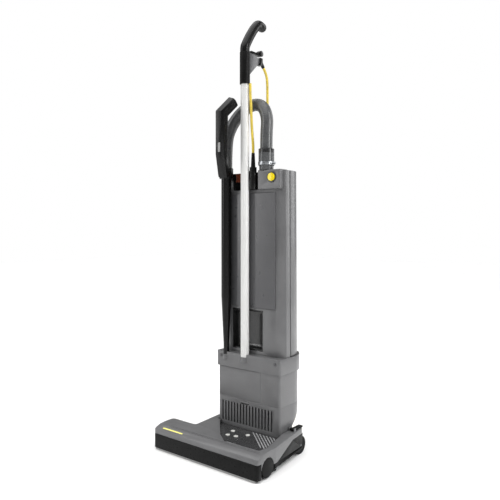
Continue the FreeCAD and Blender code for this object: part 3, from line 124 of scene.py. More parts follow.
# The suction hose's cuff, and its route over to the wand from the cuff's top, in millimetres.
HOSE_START = (78.0, 33.0, 850.3)
HOSE_RISE = (
    (0, 0, 0), (0, 0, 42), (2, 3, 90), (-20, 9, 127), (-58, 8, 133), (-95, -5, 106), (-117, -21, 62),
    (-124, -27.5, 20), (-124, -27.5, -50))
# Steps between two points of the route, and points round the hose.
HOSE_STEPS = 12
HOSE_SIDES = 36
# Share of the groove's depth at the steps of one rib: its crown, a flank, the groove, a flank.
RIB_SHAPE = (0.0, 0.25, 1.0, 0.45)

# The brush roller, in millimetres: two rows of tufts that wind in from the ends to the middle.
BRUSH_AXIS = (-106.0, 27.0)
BRUSH_ROWS = 2
TUFT_REACH = 145.0
TUFT_COUNT = 15
TUFT_WINDING = 1.5 * math.pi
TUFT_RADIUS = 2.6
ROOT_RADIUS = 13.2
TIP_RADIUS = 25.6
# The filaments of one tuft: their number and sides, and the radius at the foot and at the tip.
FILAMENTS = 19
FILAMENT_SIDES = 5
FILAMENT_FOOT = 0.4
FILAMENT_TIP = 0.3
# The turn from one filament to the next, and the lean for each millimetre out, in radians.
FILAMENT_ANGLE = 2.4
FILAMENT_SPLAY = 0.03

# The filter bag, as shares of its half size: at the corners, and how much more on the faces.
# The creases are shares too, and so is the fold of the gussets.
BAG_CUTS = 15
BAG_SIDE, BAG_SIDE_CROWN = 0.8, 0.16
BAG_END, BAG_END_CROWN = 0.9, 0.06
BAG_CREASE = 0.035
BAG_CREASE_DENSITY = (2.3, 2.3, 7.0)
BAG_GUSSET = 0.05


class CleanerSizes(bpy.types.PropertyGroup):
    """Sizes of the pieces that are made here, in metres, and a scale for their edges."""
    edge_scale: bpy.props.FloatProperty(
        name="Edge rounding", description="Scale of the radius on the edges of the mouldings",
        default=1.0, min=0.1, max=2.0)
    hose_radius: bpy.props.FloatProperty(
        name="Hose radius", description="Radius over the hose's ribs", default=0.0175, unit="LENGTH")
    hose_pitch: bpy.props.FloatProperty(
        name="Rib pitch", description="Distance from rib to rib of the hose", default=0.0048, unit="LENGTH")
    rib_depth: bpy.props.FloatProperty(
        name="Rib depth", description="How far a groove lies below the ribs", default=0.0004, unit="LENGTH")
    cord_radius: bpy.props.FloatProperty(
        name="Cord radius", description="Radius of the mains cord", default=0.00375, unit="LENGTH")


class CleanerColours(bpy.types.PropertyGroup):
    """Colours that a user would change, as sRGB hex."""
    shell: bpy.props.StringProperty(
        name="Shell", description="Main grey of the mouldings", default="#5F5F60")
    panel: bpy.props.StringProperty(
        name="Front panel", description="Darker grey of the front panel", default="#48484A")
    tube: bpy.props.StringProperty(
        name="Tube", description="Powder coat of the handle tube", default="#D2D2D0")
    accent: bpy.props.StringProperty(
        name="Accent", description="Yellow of the release button and the stripe", default="#E6CE10")
    cord: bpy.props.StringProperty(
        name="Cord", description="Sheath of the mains cord", default="#CDB43A")


def sizes():
    return bpy.context.scene.cleaner_sizes


def colours():
    return bpy.context.scene.cleaner_colours


# ---------------------------------------------------------------- helpers for nodes

def linear(hex_colour):
    """An sRGB hex colour as linear RGBA."""
    parts = [int(hex_colour[i:i + 2], 16) / 255 for i in (1, 3, 5)]
    return tuple(c / 12.92 if c <= 0.04045 else ((c + 0.055) / 1.055) ** 2.4 for c in parts) + (1.0,)


def shade(hex_colour, factor):
    """A hex colour made lighter or darker."""
    parts = [min(255, round(int(hex_colour[i:i + 2], 16) * factor)) for i in (1, 3, 5)]
    return "#{:02X}{:02X}{:02X}".format(*parts)


def add_node(tree, kind, settings=None, **inputs):
    """A node with its settings, and its sockets set to a value or linked to an output."""
    node = tree.nodes.new(kind)
    for key, value in (settings or {}).items():
        setattr(node, key, value)
    for key, value in inputs.items():
        socket = node.inputs[key.replace("_", " ")]
        if isinstance(value, bpy.types.NodeSocket):
            tree.links.new(value, socket)
        else:
            socket.default_value = value
    return node


def begin(name):
    """A material with an empty tree, its Principled shader and Object coordinates."""
    material = bpy.data.materials.new(name)
    material.use_nodes = True
    tree = material.node_tree
    tree.nodes.clear()
    shader = add_node(tree, "ShaderNodeBsdfPrincipled")
    out = add_node(tree, "ShaderNodeOutputMaterial")
    tree.links.new(shader.outputs["BSDF"], out.inputs["Surface"])
    coords = add_node(tree, "ShaderNodeTexCoord").outputs["Object"]
    return material, tree, shader, coords


def per_mm(size_mm):
    """Noise scale that gives features of this size in millimetres."""
    return 1000.0 / size_mm


def mottle(tree, coords, feature_mm, low, high, detail=3.0):
    """Noise mapped to a colour between two hex values."""
    cloud = add_node(tree, "ShaderNodeTexNoise", Vector=coords, Scale=per_mm(feature_mm), Detail=detail)
    ramp = add_node(tree, "ShaderNodeValToRGB", Fac=cloud.outputs["Fac"])
    ramp.color_ramp.elements[0].position = 0.35
    ramp.color_ramp.elements[1].position = 0.65
    ramp.color_ramp.elements[0].color = linear(low)
    ramp.color_ramp.elements[1].color = linear(high)
    return ramp.outputs["Color"]


def spread(tree, coords, feature_mm, low, high):
    """Noise mapped to a number between low and high."""
    cloud = add_node(tree, "ShaderNodeTexNoise", Vector=coords, Scale=per_mm(feature_mm), Detail=2.0)
    return add_node(tree, "ShaderNodeMapRange", Value=cloud.outputs["Fac"], From_Min=0.3, From_Max=0.7,
                    To_Min=low, To_Max=high).outputs["Result"]


def relief(tree, shader, height, distance_mm, strength=1.0):
    """Bump from a height, into the shader's normal."""
    bump = add_node(tree, "ShaderNodeBump", Height=height, Distance=distance_mm / 1000, Strength=strength)
    tree.links.new(bump.outputs["Normal"], shader.inputs["Normal"])


# ---------------------------------------------------------------- materials

def moulded_abs(name, colour, roughness=0.32, specular=0.45):
    """Injection moulded ABS: an even satin sheen, with the fine grain of a spark eroded mould."""
    material, tree, shader, coords = begin(name)
    colour_out = mottle(tree, coords, 60, shade(colour, 0.97), shade(colour, 1.03))
    tree.links.new(colour_out, shader.inputs["Base Color"])
    tree.links.new(spread(tree, coords, 25, roughness - 0.03, roughness + 0.04), shader.inputs["Roughness"])
    shader.inputs["IOR"].default_value = 1.53
    shader.inputs["Specular IOR Level"].default_value = specular
    grain = add_node(tree, "ShaderNodeTexNoise", Vector=coords, Scale=per_mm(0.9), Detail=4.0)
    relief(tree, shader, grain.outputs["Fac"], 0.02, 0.5)
    return material


def textured_polypropylene(name, colour, roughness=0.5):
    """Moulded polypropylene with a leather grain: black, hard wearing, with soft broken highlights."""
    material, tree, shader, coords = begin(name)
    colour_out = mottle(tree, coords, 40, shade(colour, 0.9), shade(colour, 1.12))
    tree.links.new(colour_out, shader.inputs["Base Color"])
    tree.links.new(spread(tree, coords, 18, roughness - 0.05, roughness + 0.06), shader.inputs["Roughness"])
    shader.inputs["IOR"].default_value = 1.49
    shader.inputs["Specular IOR Level"].default_value = 0.1
    # Real grain cells are about 0.6 mm; they are drawn at 1.2 mm so that they show.
    cells = add_node(tree, "ShaderNodeTexVoronoi", {"feature": "DISTANCE_TO_EDGE"}, Vector=coords,
                     Scale=per_mm(1.2))
    lift = add_node(tree, "ShaderNodeMapRange", Value=cells.outputs["Distance"], From_Min=0.0,
                    From_Max=0.25)
    relief(tree, shader, lift.outputs["Result"], 0.05, 0.45)
    return material


def powder_coat(name, colour):
    """Powder coated steel tube: white, half gloss, with the slight waviness of baked powder."""
    material, tree, shader, coords = begin(name)
    tree.links.new(mottle(tree, coords, 80, shade(colour, 0.985), colour), shader.inputs["Base Color"])
    tree.links.new(spread(tree, coords, 12, 0.27, 0.34), shader.inputs["Roughness"])
    shader.inputs["IOR"].default_value = 1.5
    shader.inputs["Coat Weight"].default_value = 0.25
    shader.inputs["Coat Roughness"].default_value = 0.12
    peel = add_node(tree, "ShaderNodeTexNoise", Vector=coords, Scale=per_mm(2.2), Detail=1.0)
    relief(tree, shader, peel.outputs["Fac"], 0.03, 0.5)
    return material


def polished_abs(name, colour, roughness=0.16):
    """Gloss moulded ABS from a polished mould: clear reflections, with very slight flow waves."""
    material, tree, shader, coords = begin(name)
    tree.links.new(mottle(tree, coords, 30, shade(colour, 0.95), shade(colour, 1.04)),
                   shader.inputs["Base Color"])
    tree.links.new(spread(tree, coords, 9, roughness - 0.03, roughness + 0.05), shader.inputs["Roughness"])
    shader.inputs["IOR"].default_value = 1.53
    waves = add_node(tree, "ShaderNodeTexNoise", Vector=coords, Scale=per_mm(14), Detail=1.0)
    relief(tree, shader, waves.outputs["Fac"], 0.05, 0.35)
    return material


def by_height(tree, coords, level_mm, below, above):
    """One colour below a height and another above it, with a short step between them."""
    parts = add_node(tree, "ShaderNodeSeparateXYZ", Vector=coords)
    share = add_node(tree, "ShaderNodeMapRange", Value=parts.outputs["Z"], From_Min=level_mm / 1000,
                     From_Max=(level_mm + COLOUR_STEP) / 1000).outputs["Result"]
    step = add_node(tree, "ShaderNodeValToRGB", Fac=share)
    step.color_ramp.elements[0].color = linear(below)
    step.color_ramp.elements[1].color = linear(above)
    return step.outputs["Color"]


def panel_with_painted_highlight(name, face, rib_highlight):
    """Gloss ABS of the indicator panel: a dark face, with a painted highlight in pale grey on the ribs and
    the lip that stand out of it.
    """
    material, tree, shader, coords = begin(name)
    tree.links.new(by_height(tree, coords, PANEL_TOP, face, rib_highlight), shader.inputs["Base Color"])
    tree.links.new(spread(tree, coords, 9, 0.2, 0.3), shader.inputs["Roughness"])
    shader.inputs["IOR"].default_value = 1.53
    shader.inputs["Specular IOR Level"].default_value = 0.4
    waves = add_node(tree, "ShaderNodeTexNoise", Vector=coords, Scale=per_mm(14), Detail=1.0)
    relief(tree, shader, waves.outputs["Fac"], 0.05, 0.35)
    return material


def banded_cuff(name, colour, band):
    """Injection moulded soft PVC cuff: a glossy grip with a darker ring at its top."""
    material, tree, shader, coords = begin(name)
    tree.links.new(by_height(tree, coords, CUFF_RING, colour, band), shader.inputs["Base Color"])
    tree.links.new(spread(tree, coords, 11, 0.22, 0.32), shader.inputs["Roughness"])
    shader.inputs["IOR"].default_value = 1.53
    skin = add_node(tree, "ShaderNodeTexNoise", Vector=coords, Scale=per_mm(1.6), Detail=3.0)
    relief(tree, shader, skin.outputs["Fac"], 0.03, 0.4)
    return material


def clear_lens(name):
    """Moulded polycarbonate light lens over a pale light guide: milky, with a clear gloss skin."""
    material, tree, shader, coords = begin(name)
    tree.links.new(mottle(tree, coords, 4, "#C9C9C4", "#DEDEDA"), shader.inputs["Base Color"])
    shader.inputs["Roughness"].default_value = 0.2
    shader.inputs["IOR"].default_value = 1.58
    shader.inputs["Coat Weight"].default_value = 0.6
    shader.inputs["Coat Roughness"].default_value = 0.05
    facets = add_node(tree, "ShaderNodeTexVoronoi", Vector=coords, Scale=per_mm(1.4))
    relief(tree, shader, facets.outputs["Distance"], 0.08, 0.4)
    return material


def moulded_rubber(name, colour="#1B1B1B", roughness=0.62):
    """Moulded synthetic rubber: matt black, with a dry surface that takes no sharp reflection."""
    material, tree, shader, coords = begin(name)
    tree.links.new(mottle(tree, coords, 14, shade(colour, 0.85), shade(colour, 1.2)),
                   shader.inputs["Base Color"])
    tree.links.new(spread(tree, coords, 6, roughness - 0.05, roughness + 0.08), shader.inputs["Roughness"])
    shader.inputs["IOR"].default_value = 1.52
    shader.inputs["Specular IOR Level"].default_value = 0.1
    grit = add_node(tree, "ShaderNodeTexNoise", Vector=coords, Scale=per_mm(0.7), Detail=5.0)
    relief(tree, shader, grit.outputs["Fac"], 0.05, 0.5)
    return material


def soft_pvc(name, colour, roughness=0.42):
    """Extruded flexible PVC: an even colour with a waxy sheen and faint lines along the extrusion."""
    material, tree, shader, coords = begin(name)
    tree.links.new(mottle(tree, coords, 22, shade(colour, 0.92), shade(colour, 1.06)),
                   shader.inputs["Base Color"])
    tree.links.new(spread(tree, coords, 8, roughness - 0.05, roughness + 0.06), shader.inputs["Roughness"])
    shader.inputs["IOR"].default_value = 1.53
    shader.inputs["Specular IOR Level"].default_value = 0.6
    skin = add_node(tree, "ShaderNodeTexNoise", Vector=coords, Scale=per_mm(1.6), Detail=3.0)
    relief(tree, shader, skin.outputs["Fac"], 0.04, 0.5)
    return material


def zinc_plate(name, colour="#A9ACAF", roughness=0.3):
    """Bright zinc plated steel: bluish metal with fine turning marks across it."""
    material, tree, shader, coords = begin(name)
    tree.links.new(mottle(tree, coords, 7, shade(colour, 0.9), shade(colour, 1.08)),
                   shader.inputs["Base Color"])
    shader.inputs["Metallic"].default_value = 1.0
    tree.links.new(spread(tree, coords, 3, roughness - 0.06, roughness + 0.1), shader.inputs["Roughness"])
    marks = add_node(tree, "ShaderNodeTexWave", {"bands_direction": "Z"}, Vector=coords, Scale=per_mm(3.0),
                     Distortion=1.0, Detail=1.0)
    relief(tree, shader, marks.outputs["Fac"], 0.01, 0.3)
    return material


def non_woven(name, colour="#D8D2C2"):
    """Needle felted filter fleece: off-white, quite matt, with a mat of short fibres."""
    material, tree, shader, coords = begin(name)
    # Real fibres are about 0.03 mm thick; the mat is drawn with 1.5 mm cells so that it shows.
    fibres = add_node(tree, "ShaderNodeTexNoise", Vector=coords, Scale=per_mm(1.5), Detail=8.0,
                      Roughness=0.75)
    tint = add_node(tree, "ShaderNodeValToRGB", Fac=fibres.outputs["Fac"])
    tint.color_ramp.elements[0].color = linear(shade(colour, 0.8))
    tint.color_ramp.elements[1].color = linear(shade(colour, 1.05))
    tree.links.new(tint.outputs["Color"], shader.inputs["Base Color"])
    shader.inputs["Roughness"].default_value = 0.9
    shader.inputs["Sheen Weight"].default_value = 0.25
    relief(tree, shader, fibres.outputs["Fac"], 0.25, 0.7)
    return material


def turned_beech(name):
    """Turned beech of the brush core: pale, with short flecks that run along the roller."""
    material, tree, shader, coords = begin(name)
    stretch = add_node(tree, "ShaderNodeMapping", Vector=coords, Scale=(0.12, 1.0, 1.0))
    grain = add_node(tree, "ShaderNodeTexNoise", Vector=stretch.outputs["Vector"], Scale=per_mm(1.2),
                     Detail=6.0)
    tint = add_node(tree, "ShaderNodeValToRGB", Fac=grain.outputs["Fac"])
    tint.color_ramp.elements[0].color = linear("#8F6C45")
    tint.color_ramp.elements[1].color = linear("#C9A679")
    tree.links.new(tint.outputs["Color"], shader.inputs["Base Color"])
    shader.inputs["Roughness"].default_value = 0.55
    relief(tree, shader, grain.outputs["Fac"], 0.06, 0.5)
    return material


def nylon_bristle(name, colour="#191919"):
    """Crimped nylon filaments: black, with a soft gloss along each one."""
    material, tree, shader, coords = begin(name)
    tree.links.new(mottle(tree, coords, 1.2, shade(colour, 0.8), shade(colour, 1.7)),
                   shader.inputs["Base Color"])
    shader.inputs["Roughness"].default_value = 0.38
    shader.inputs["IOR"].default_value = 1.53
    crimp = add_node(tree, "ShaderNodeTexNoise", Vector=coords, Scale=per_mm(0.8), Detail=2.0)
    relief(tree, shader, crimp.outputs["Fac"], 0.05, 0.5)
    return material


FINISH = {}


def make_materials():
    """Every finish of the cleaner, by the name that the pieces ask for."""
    c = colours()
    FINISH.update({
        "shell": moulded_abs("Satin_grey_ABS", c.shell),
        "panel": moulded_abs("Satin_dark_grey_ABS", c.panel, 0.3),
        "black": textured_polypropylene("Grained_black_polypropylene", "#121212", 0.38),
        "smooth_black": moulded_abs("Satin_black_ABS", "#101010", 0.24, 0.2),
        "tube": powder_coat("White_powder_coat", c.tube),
        "gloss_dark": polished_abs("Gloss_charcoal_ABS", "#2A2B1E", 0.22),
        # The pale grey on the ribs and the lip of the indicator panel is a painted highlight.
        "indicator": panel_with_painted_highlight("Gloss_panel_with_painted_rib_highlight", "#303031", "#8C8C8D"),
        "stripe": polished_abs("Gloss_pale_yellow_ABS", "#E9E27A", 0.25),
        "accent": polished_abs("Gloss_yellow_ABS", c.accent, 0.2),
        "switch": polished_abs("Gloss_brown_ABS", "#6A3220", 0.25),
        "lens": clear_lens("Milky_polycarbonate_lens"),
        "rubber": moulded_rubber("Matt_black_rubber"),
        "bumper": moulded_rubber("Bumper_rubber", "#101010", 0.3),
        "recess": polished_abs("Gloss_black_ABS", "#1C1C1C", 0.22),
        "hose": soft_pvc("Ribbed_grey_PVC_hose", "#464748", 0.3),
        "cuff": banded_cuff("Moulded_grey_PVC_cuff", "#4A4B4C", "#1E1E1F"),
        "cord": soft_pvc("Yellow_PVC_sheath", c.cord),
        "steel": zinc_plate("Zinc_plated_steel"),
        "motor": zinc_plate("Rolled_steel_case", "#8C8E90", 0.42),
        "fleece": non_woven("Needle_felt_fleece"),
        "beech": turned_beech("Turned_beech"),
        "bristle": nylon_bristle("Black_nylon_bristle"),
        # Pale grey for the bag frame and the grip inlay; on the floor strip the same pale grey is a painted
        # highlight.
        "pale": moulded_abs("Pale_grey_ABS_and_painted_highlight", "#8E8E8D", 0.42),
    })


def paint(obj, finish):
    """Give the object one finish."""
    obj.data.materials.clear()
    obj.data.materials.append(FINISH[finish])


# ---------------------------------------------------------------- helpers for meshes

BODY_OF = {node: body for body, held in frame["record"]["behaviour"]["bodies"].items() for node in held}


def mm(*values):
    """A point or size given in millimetres."""
    return Vector(v / 1000 for v in values)


def new_piece(name, bm, body, finish):
    """A smooth, finished object from a bmesh, at the origin, riding on its body if one is named."""
    mesh = bpy.data.meshes.new(name)
    for face in bm.faces:
        face.smooth = True
    bm.to_mesh(mesh)
    bm.free()
    obj = bpy.data.objects.new(name, mesh)
    bpy.context.scene.collection.objects.link(obj)
    paint(obj, finish)
    if body:
        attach(obj, body)
    return obj


def softened(node, finish, radius_mm):
    """A CAD node's shape with its doubles merged and its sharp edges rounded."""
    bm = bmesh.new()
    bm.from_mesh(frame["nodes"][node].data)
    bmesh.ops.remove_doubles(bm, verts=bm.verts, dist=MERGE_DISTANCE)
    piece = new_piece(node + "_moulding", bm, BODY_OF[node], finish)
    bevel = piece.modifiers.new("Rounded edges", "BEVEL")
    bevel.width = radius_mm / 1000 * sizes().edge_scale
    bevel.segments = EDGE_STEPS
    bevel.limit_method = "ANGLE"
    bevel.angle_limit = math.radians(SHARP_ANGLE)
    bevel.miter_outer = "MITER_ARC"
    bevel.harden_normals = True
    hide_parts(node)
    return piece


def kept(node, finish):
    """A CAD node that keeps its mesh and gets its finish."""
    paint(frame["nodes"][node], finish)


def nurbs_line(name, points, steps):
    """Curve data: a smooth line that starts and ends on the first and last point of a route."""
    line = bpy.data.curves.new(name, "CURVE")
    line.dimensions = "3D"
    spline = line.splines.new("NURBS")
    spline.points.add(len(points) - 1)
    for place, point in zip(spline.points, points):
        place.co = (*point, 1.0)
    spline.order_u = 3
    spline.use_endpoint_u = True
    spline.resolution_u = steps
    return line


def centreline(points, name):
    """Points along the smooth line of a route, for pieces that follow it."""
    line = nurbs_line(name, points, HOSE_STEPS)
    holder = bpy.data.objects.new(name, line)
    bpy.context.scene.collection.objects.link(holder)
    mesh = bpy.data.meshes.new_from_object(holder)
    found = [v.co.copy() for v in mesh.vertices]
    bpy.data.objects.remove(holder)
    bpy.data.meshes.remove(mesh)
    return found


def evenly(points, step):
    """Places along a line, a step apart, each with its direction."""
    total = sum((b - a).length for a, b in zip(points, points[1:]))
    count = max(2, round(total / step))
    wanted = [total * i / count for i in range(count + 1)]
    made, run, index = [], 0.0, 0
    for distance in wanted:
        while index < len(points) - 2 and run + (points[index + 1] - points[index]).length < distance:
            run += (points[index + 1] - points[index]).length
            index += 1
        ahead = points[index + 1] - points[index]
        made.append((points[index] + ahead.normalized() * (distance - run), ahead.normalized()))
    return made


# ---------------------------------------------------------------- operators

class CLEANER_OT_stage(bpy.types.Operator):
    """Camera, pale floor and soft studio light"""
    bl_idname = "cleaner.stage"
    bl_label = "Stage"

    def execute(self, context):
        camera = bpy.data.cameras.new("Camera")
        camera.lens = LENS
        camera.sensor_width = FILM_WIDTH
        camera.shift_y = SHIFT_UP
        holder = bpy.data.objects.new("Camera", camera)
        holder.location = CAMERA_PLACE
        holder.rotation_euler = (math.radians(90), 0, math.radians(CAMERA_TURN))
        context.scene.collection.objects.link(holder)
        context.scene.camera = holder

        bm = bmesh.new()
        bmesh.ops.create_grid(bm, x_segments=1, y_segments=1, size=FLOOR_HALF)
        bmesh.ops.translate(bm, verts=bm.verts, vec=FLOOR_MIDDLE)
        mesh = bpy.data.meshes.new("Floor")
        bm.to_mesh(mesh)
        bm.free()
        floor = bpy.data.objects.new("Floor", mesh)
        context.scene.collection.objects.link(floor)
        material, tree, shader, coords = begin("Pale_studio_floor")
        tree.links.new(mottle(tree, coords, 900, "#F4F4F4", "#F8F8F8"), shader.inputs["Base Color"])
        shader.inputs["Roughness"].default_value = 0.7
        floor.data.materials.append(material)

        world = bpy.data.worlds.new("Studio")
        context.scene.world = world
        world.use_nodes = True
        tree = world.node_tree
        tree.nodes.clear()
        # The backdrop is white, and the room round the object is dim, so that dark plastic stays dark.
        seen = add_node(tree, "ShaderNodeLightPath").outputs["Is Camera Ray"]
        strength = add_node(tree, "ShaderNodeMapRange", Value=seen, To_Min=ROOM_STRENGTH,
                            To_Max=BACKDROP_STRENGTH).outputs["Result"]
        backdrop = add_node(tree, "ShaderNodeBackground", Color=(1, 1, 1, 1), Strength=strength)
        out = add_node(tree, "ShaderNodeOutputWorld")
        tree.links.new(backdrop.outputs["Background"], out.inputs["Surface"])

        target = Vector(LIT_POINT)
        overhead = bpy.data.lights.new("Overhead", "SUN")
        overhead.energy = SUN_ENERGY
        overhead.angle = math.radians(SUN_ANGLE)
        lamp = bpy.data.objects.new("Overhead", overhead)
        lamp.rotation_euler = (*map(math.radians, SUN_TILT), 0)
        context.scene.collection.objects.link(lamp)
        for name, place, width, height, power in SOFT_BOXES:
            light = bpy.data.lights.new(name, "AREA")
            light.shape = "RECTANGLE"
            light.size = width
            light.size_y = height
            light.energy = power
            lamp = bpy.data.objects.new(name, light)
            lamp.location = place
            lamp.rotation_euler = (target - Vector(place)).to_track_quat("-Z", "Y").to_euler()
            context.scene.collection.objects.link(lamp)
        context.scene.view_settings.view_transform = "Standard"
        return {"FINISHED"}


def coil_turns(pitch):
    """Five layers of five turns: each layer winds in or out, and the next lies on it."""
    points = []
    layers = [range(COIL_ROWS) if level % 2 == 0 else range(COIL_ROWS - 1, -1, -1)
              for level in range(COIL_ROWS)]
    rings = [(row, level) for level, rows in enumerate(layers) for row in rows]
    for turn, (row, level) in enumerate(rings):
        row_next, level_next = rings[min(turn + 1, len(rings) - 1)]
        for i in range(COIL_POINTS):
            # A turn keeps its ring for most of the way round, then steps over to the next.
            share = max(0.0, (i / COIL_POINTS - COIL_STAY) / (1 - COIL_STAY))
            across = row + (row_next - row) * share
            height = level + (level_next - level) * share
            radius = COIL_MIDDLE + (COIL_ROWS // 2 - across) * pitch
            angle = 2 * math.pi * i / COIL_POINTS
            points.append((COIL_CENTRE[0] + radius * math.cos(angle),
                           COIL_CENTRE[1] + radius * math.sin(angle),
                           COIL_FLOOR_GAP + pitch / 2 + height * pitch))
    return points


class CLEANER_OT_mains_cord(bpy.types.Operator):
    """Mains cord from its clip to the floor, its coil and the plug"""
    bl_idname = "cleaner.mains_cord"
    bl_label = "Mains cord"

    def execute(self, context):
        x, y, z = CORD_EXIT
        pitch = sizes().cord_radius * 2000
        cx, cy = COIL_CENTRE
        edge = cx + COIL_MIDDLE + (COIL_ROWS // 2) * pitch
        top = COIL_ROWS * pitch + COIL_TOP_GAP
        points = [(x + a, y + b, z + c) for a, b, c in CORD_DROP]
        points += [(edge, y + back, height) for back, height in CORD_LANDING]
        points += coil_turns(pitch)
        points += [(cx + a, cy + b, top + c) for a, b, c in PLUG_LEAD]
        line = nurbs_line("mains_cord_line", [mm(*point) for point in points], CORD_STEPS)
        line.bevel_depth = sizes().cord_radius
        line.bevel_resolution = CORD_ROUND_STEPS
        line.use_fill_caps = True
        cord = bpy.data.objects.new("mains_cord_line", line)
        context.scene.collection.objects.link(cord)
        paint(cord, "cord")
        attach(cord, "upright")
        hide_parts("mains_cord", "cord_coil")
        plug = softened("mains_plug", "rubber", 1.5)
        kept("handle_lead", "cord")
        return {"FINISHED"}


class CLEANER_OT_hose(bpy.types.Operator):
    """Ribbed suction hose"""
    bl_idname = "cleaner.hose"
    bl_label = "Suction hose"

    def execute(self, context):
        x, y, z = HOSE_START
        route = [mm(x + a, y + b, z + c) for a, b, c in HOSE_RISE]
        path = evenly(centreline(route, "hose_line"), sizes().hose_pitch / len(RIB_SHAPE))
        outer = sizes().hose_radius
        bm = bmesh.new()
        last = None
        up = Vector((0, 1, 0))
        for i, (place, ahead) in enumerate(path):
            side = up.cross(ahead).normalized()
            up = ahead.cross(side).normalized()
            turn = Matrix((side, up, ahead)).transposed().to_4x4()
            radius = outer - sizes().rib_depth * RIB_SHAPE[i % len(RIB_SHAPE)]
            made = bmesh.ops.create_circle(bm, segments=HOSE_SIDES, radius=radius,
                                           matrix=Matrix.Translation(place) @ turn)["verts"]
            ring = list({edge for v in made for edge in v.link_edges})
            if last:
                bmesh.ops.bridge_loops(bm, edges=last + ring)
            last = ring
        bmesh.ops.holes_fill(bm, edges=[e for e in bm.edges if e.is_boundary], sides=0)
        bmesh.ops.recalc_face_normals(bm, faces=bm.faces)
        hose = new_piece("ribbed_hose", bm, None, "hose")
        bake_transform(hose)
        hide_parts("hose")
        return {"FINISHED"}


class CLEANER_OT_head(bpy.types.Operator):
    """Head mouldings, bumper, panel, lights and the drive inside"""
    bl_idname = "cleaner.head"
    bl_label = "Cleaning head"

    def execute(self, context):
        for node, finish, radius in (
                ("head_cover", "shell", 1.6), ("head_chassis", "black", 1.0),
                ("front_bumper", "bumper", 1.2),
                # The floor strip's pale grey is a painted highlight: it stands in for the bright line of
                # light along the bumper's lower edge.
                ("floor_strip", "pale", 0.5), ("indicator_panel", "indicator", 0.7),
                ("indicator_lights", "lens", 0.5), ("tilt_pedal", "black", 1.5), ("end_caps", "black", 1.0),
                ("accent_stripe", "stripe", 0.3), ("neck_duct", "smooth_black", 0.5)):
            softened(node, finish, radius)
        for node, finish in (("head_pins", "steel"), ("drive_motor", "motor"), ("drive_belt", "rubber"),
                             ("motor_pulley", "steel"), ("brush_pulley", "smooth_black"),
                             ("brush_roller", "beech")):
            kept(node, finish)
        return {"FINISHED"}


class CLEANER_OT_bristles(bpy.types.Operator):
    """Bristle tufts of the brush roller, each a bundle of filaments"""
    bl_idname = "cleaner.bristles"
    bl_label = "Bristles"

    def execute(self, context):
        bm = bmesh.new()
        length = TIP_RADIUS - ROOT_RADIUS
        for row in range(BRUSH_ROWS):
            for i in range(TUFT_COUNT):
                x = TUFT_REACH * (2 * i / (TUFT_COUNT - 1) - 1)
                turn = 2 * math.pi * row / BRUSH_ROWS + TUFT_WINDING * abs(x) / TUFT_REACH
                out = Vector((0, math.cos(turn), math.sin(turn)))
                frame_of_tuft = out.to_track_quat("Z", "X").to_matrix().to_4x4()
                foot = mm(x, *BRUSH_AXIS) + out * ROOT_RADIUS / 1000
                for k in range(FILAMENTS):
                    # The filaments stand in a sunflower pattern and splay a little towards their tips.
                    ring = TUFT_RADIUS * math.sqrt((k + 0.5) / FILAMENTS)
                    angle = FILAMENT_ANGLE * k
                    root = Vector((ring * math.cos(angle), ring * math.sin(angle), 0)) / 1000
                    across = Vector((-math.sin(angle), math.cos(angle), 0))
                    lean = Matrix.Rotation(FILAMENT_SPLAY * ring, 4, across)
                    rise = Matrix.Translation((0, 0, length / 2000))
                    bmesh.ops.create_cone(bm, cap_ends=True, segments=FILAMENT_SIDES,
                                          radius1=FILAMENT_FOOT / 1000, radius2=FILAMENT_TIP / 1000,
                                          depth=length / 1000,
                                          matrix=Matrix.Translation(foot) @ frame_of_tuft
                                          @ Matrix.Translation(root) @ lean @ rise)
        bristles = new_piece("bristle_tufts", bm, "brush", "bristle")
        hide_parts("brush_bristles")
        return {"FINISHED"}


class CLEANER_OT_wheels(bpy.types.Operator):
    """Rear wheels and the two small wheels"""
    bl_idname = "cleaner.wheels"
    bl_label = "Wheels"

    def execute(self, context):
        for node in ("rear_wheel_left", "rear_wheel_right"):
            softened(node, "rubber", 1.2)
        softened("front_wheels", "smooth_black", 0.6)
        return {"FINISHED"}


class CLEANER_OT_housing(bpy.types.Operator):
    """Motor housing with its grille, filter cover, collar and the motor inside"""
    bl_idname = "cleaner.housing"
    bl_label = "Motor housing"

    def execute(self, context):
        for node, finish, radius in (
                ("housing_lower", "shell", 0.7), ("housing_upper", "shell", 1.2), ("collar", "shell", 1.6),
                ("collar_studs", "panel", 0.8), ("filter_cover", "shell", 1.0),
                ("filter_latch", "shell", 0.7),
                ("suction_motor", "motor", 1.0), ("motor_plate", "smooth_black", 0.6),
                ("motor_ring", "rubber", 0.5), ("exhaust_filter", "fleece", 0.6)):
            softened(node, finish, radius)
        kept("motor_fan", "steel")
        return {"FINISHED"}


class CLEANER_OT_bag_housing(bpy.types.Operator):
    """Bag housing with its front panel, recess, rear cover, button and switch"""
    bl_idname = "cleaner.bag_housing"
    bl_label = "Bag housing"

    def execute(self, context):
        for node, finish, radius in (
                ("bag_shell", "shell", 2.4), ("rear_cover", "shell", 1.5), ("front_panel", "panel", 1.2),
                ("hand_recess", "recess", 1.0), ("hose_box", "shell", 2.0), ("hose_button", "accent", 1.2),
                ("button_ring", "gloss_dark", 0.6), ("switch_plate", "smooth_black", 1.0),
                ("power_switch", "switch", 0.8), ("cover_catch", "smooth_black", 0.8),
                ("bag_frame", "pale", 0.6)):
            softened(node, finish, radius)
        return {"FINISHED"}


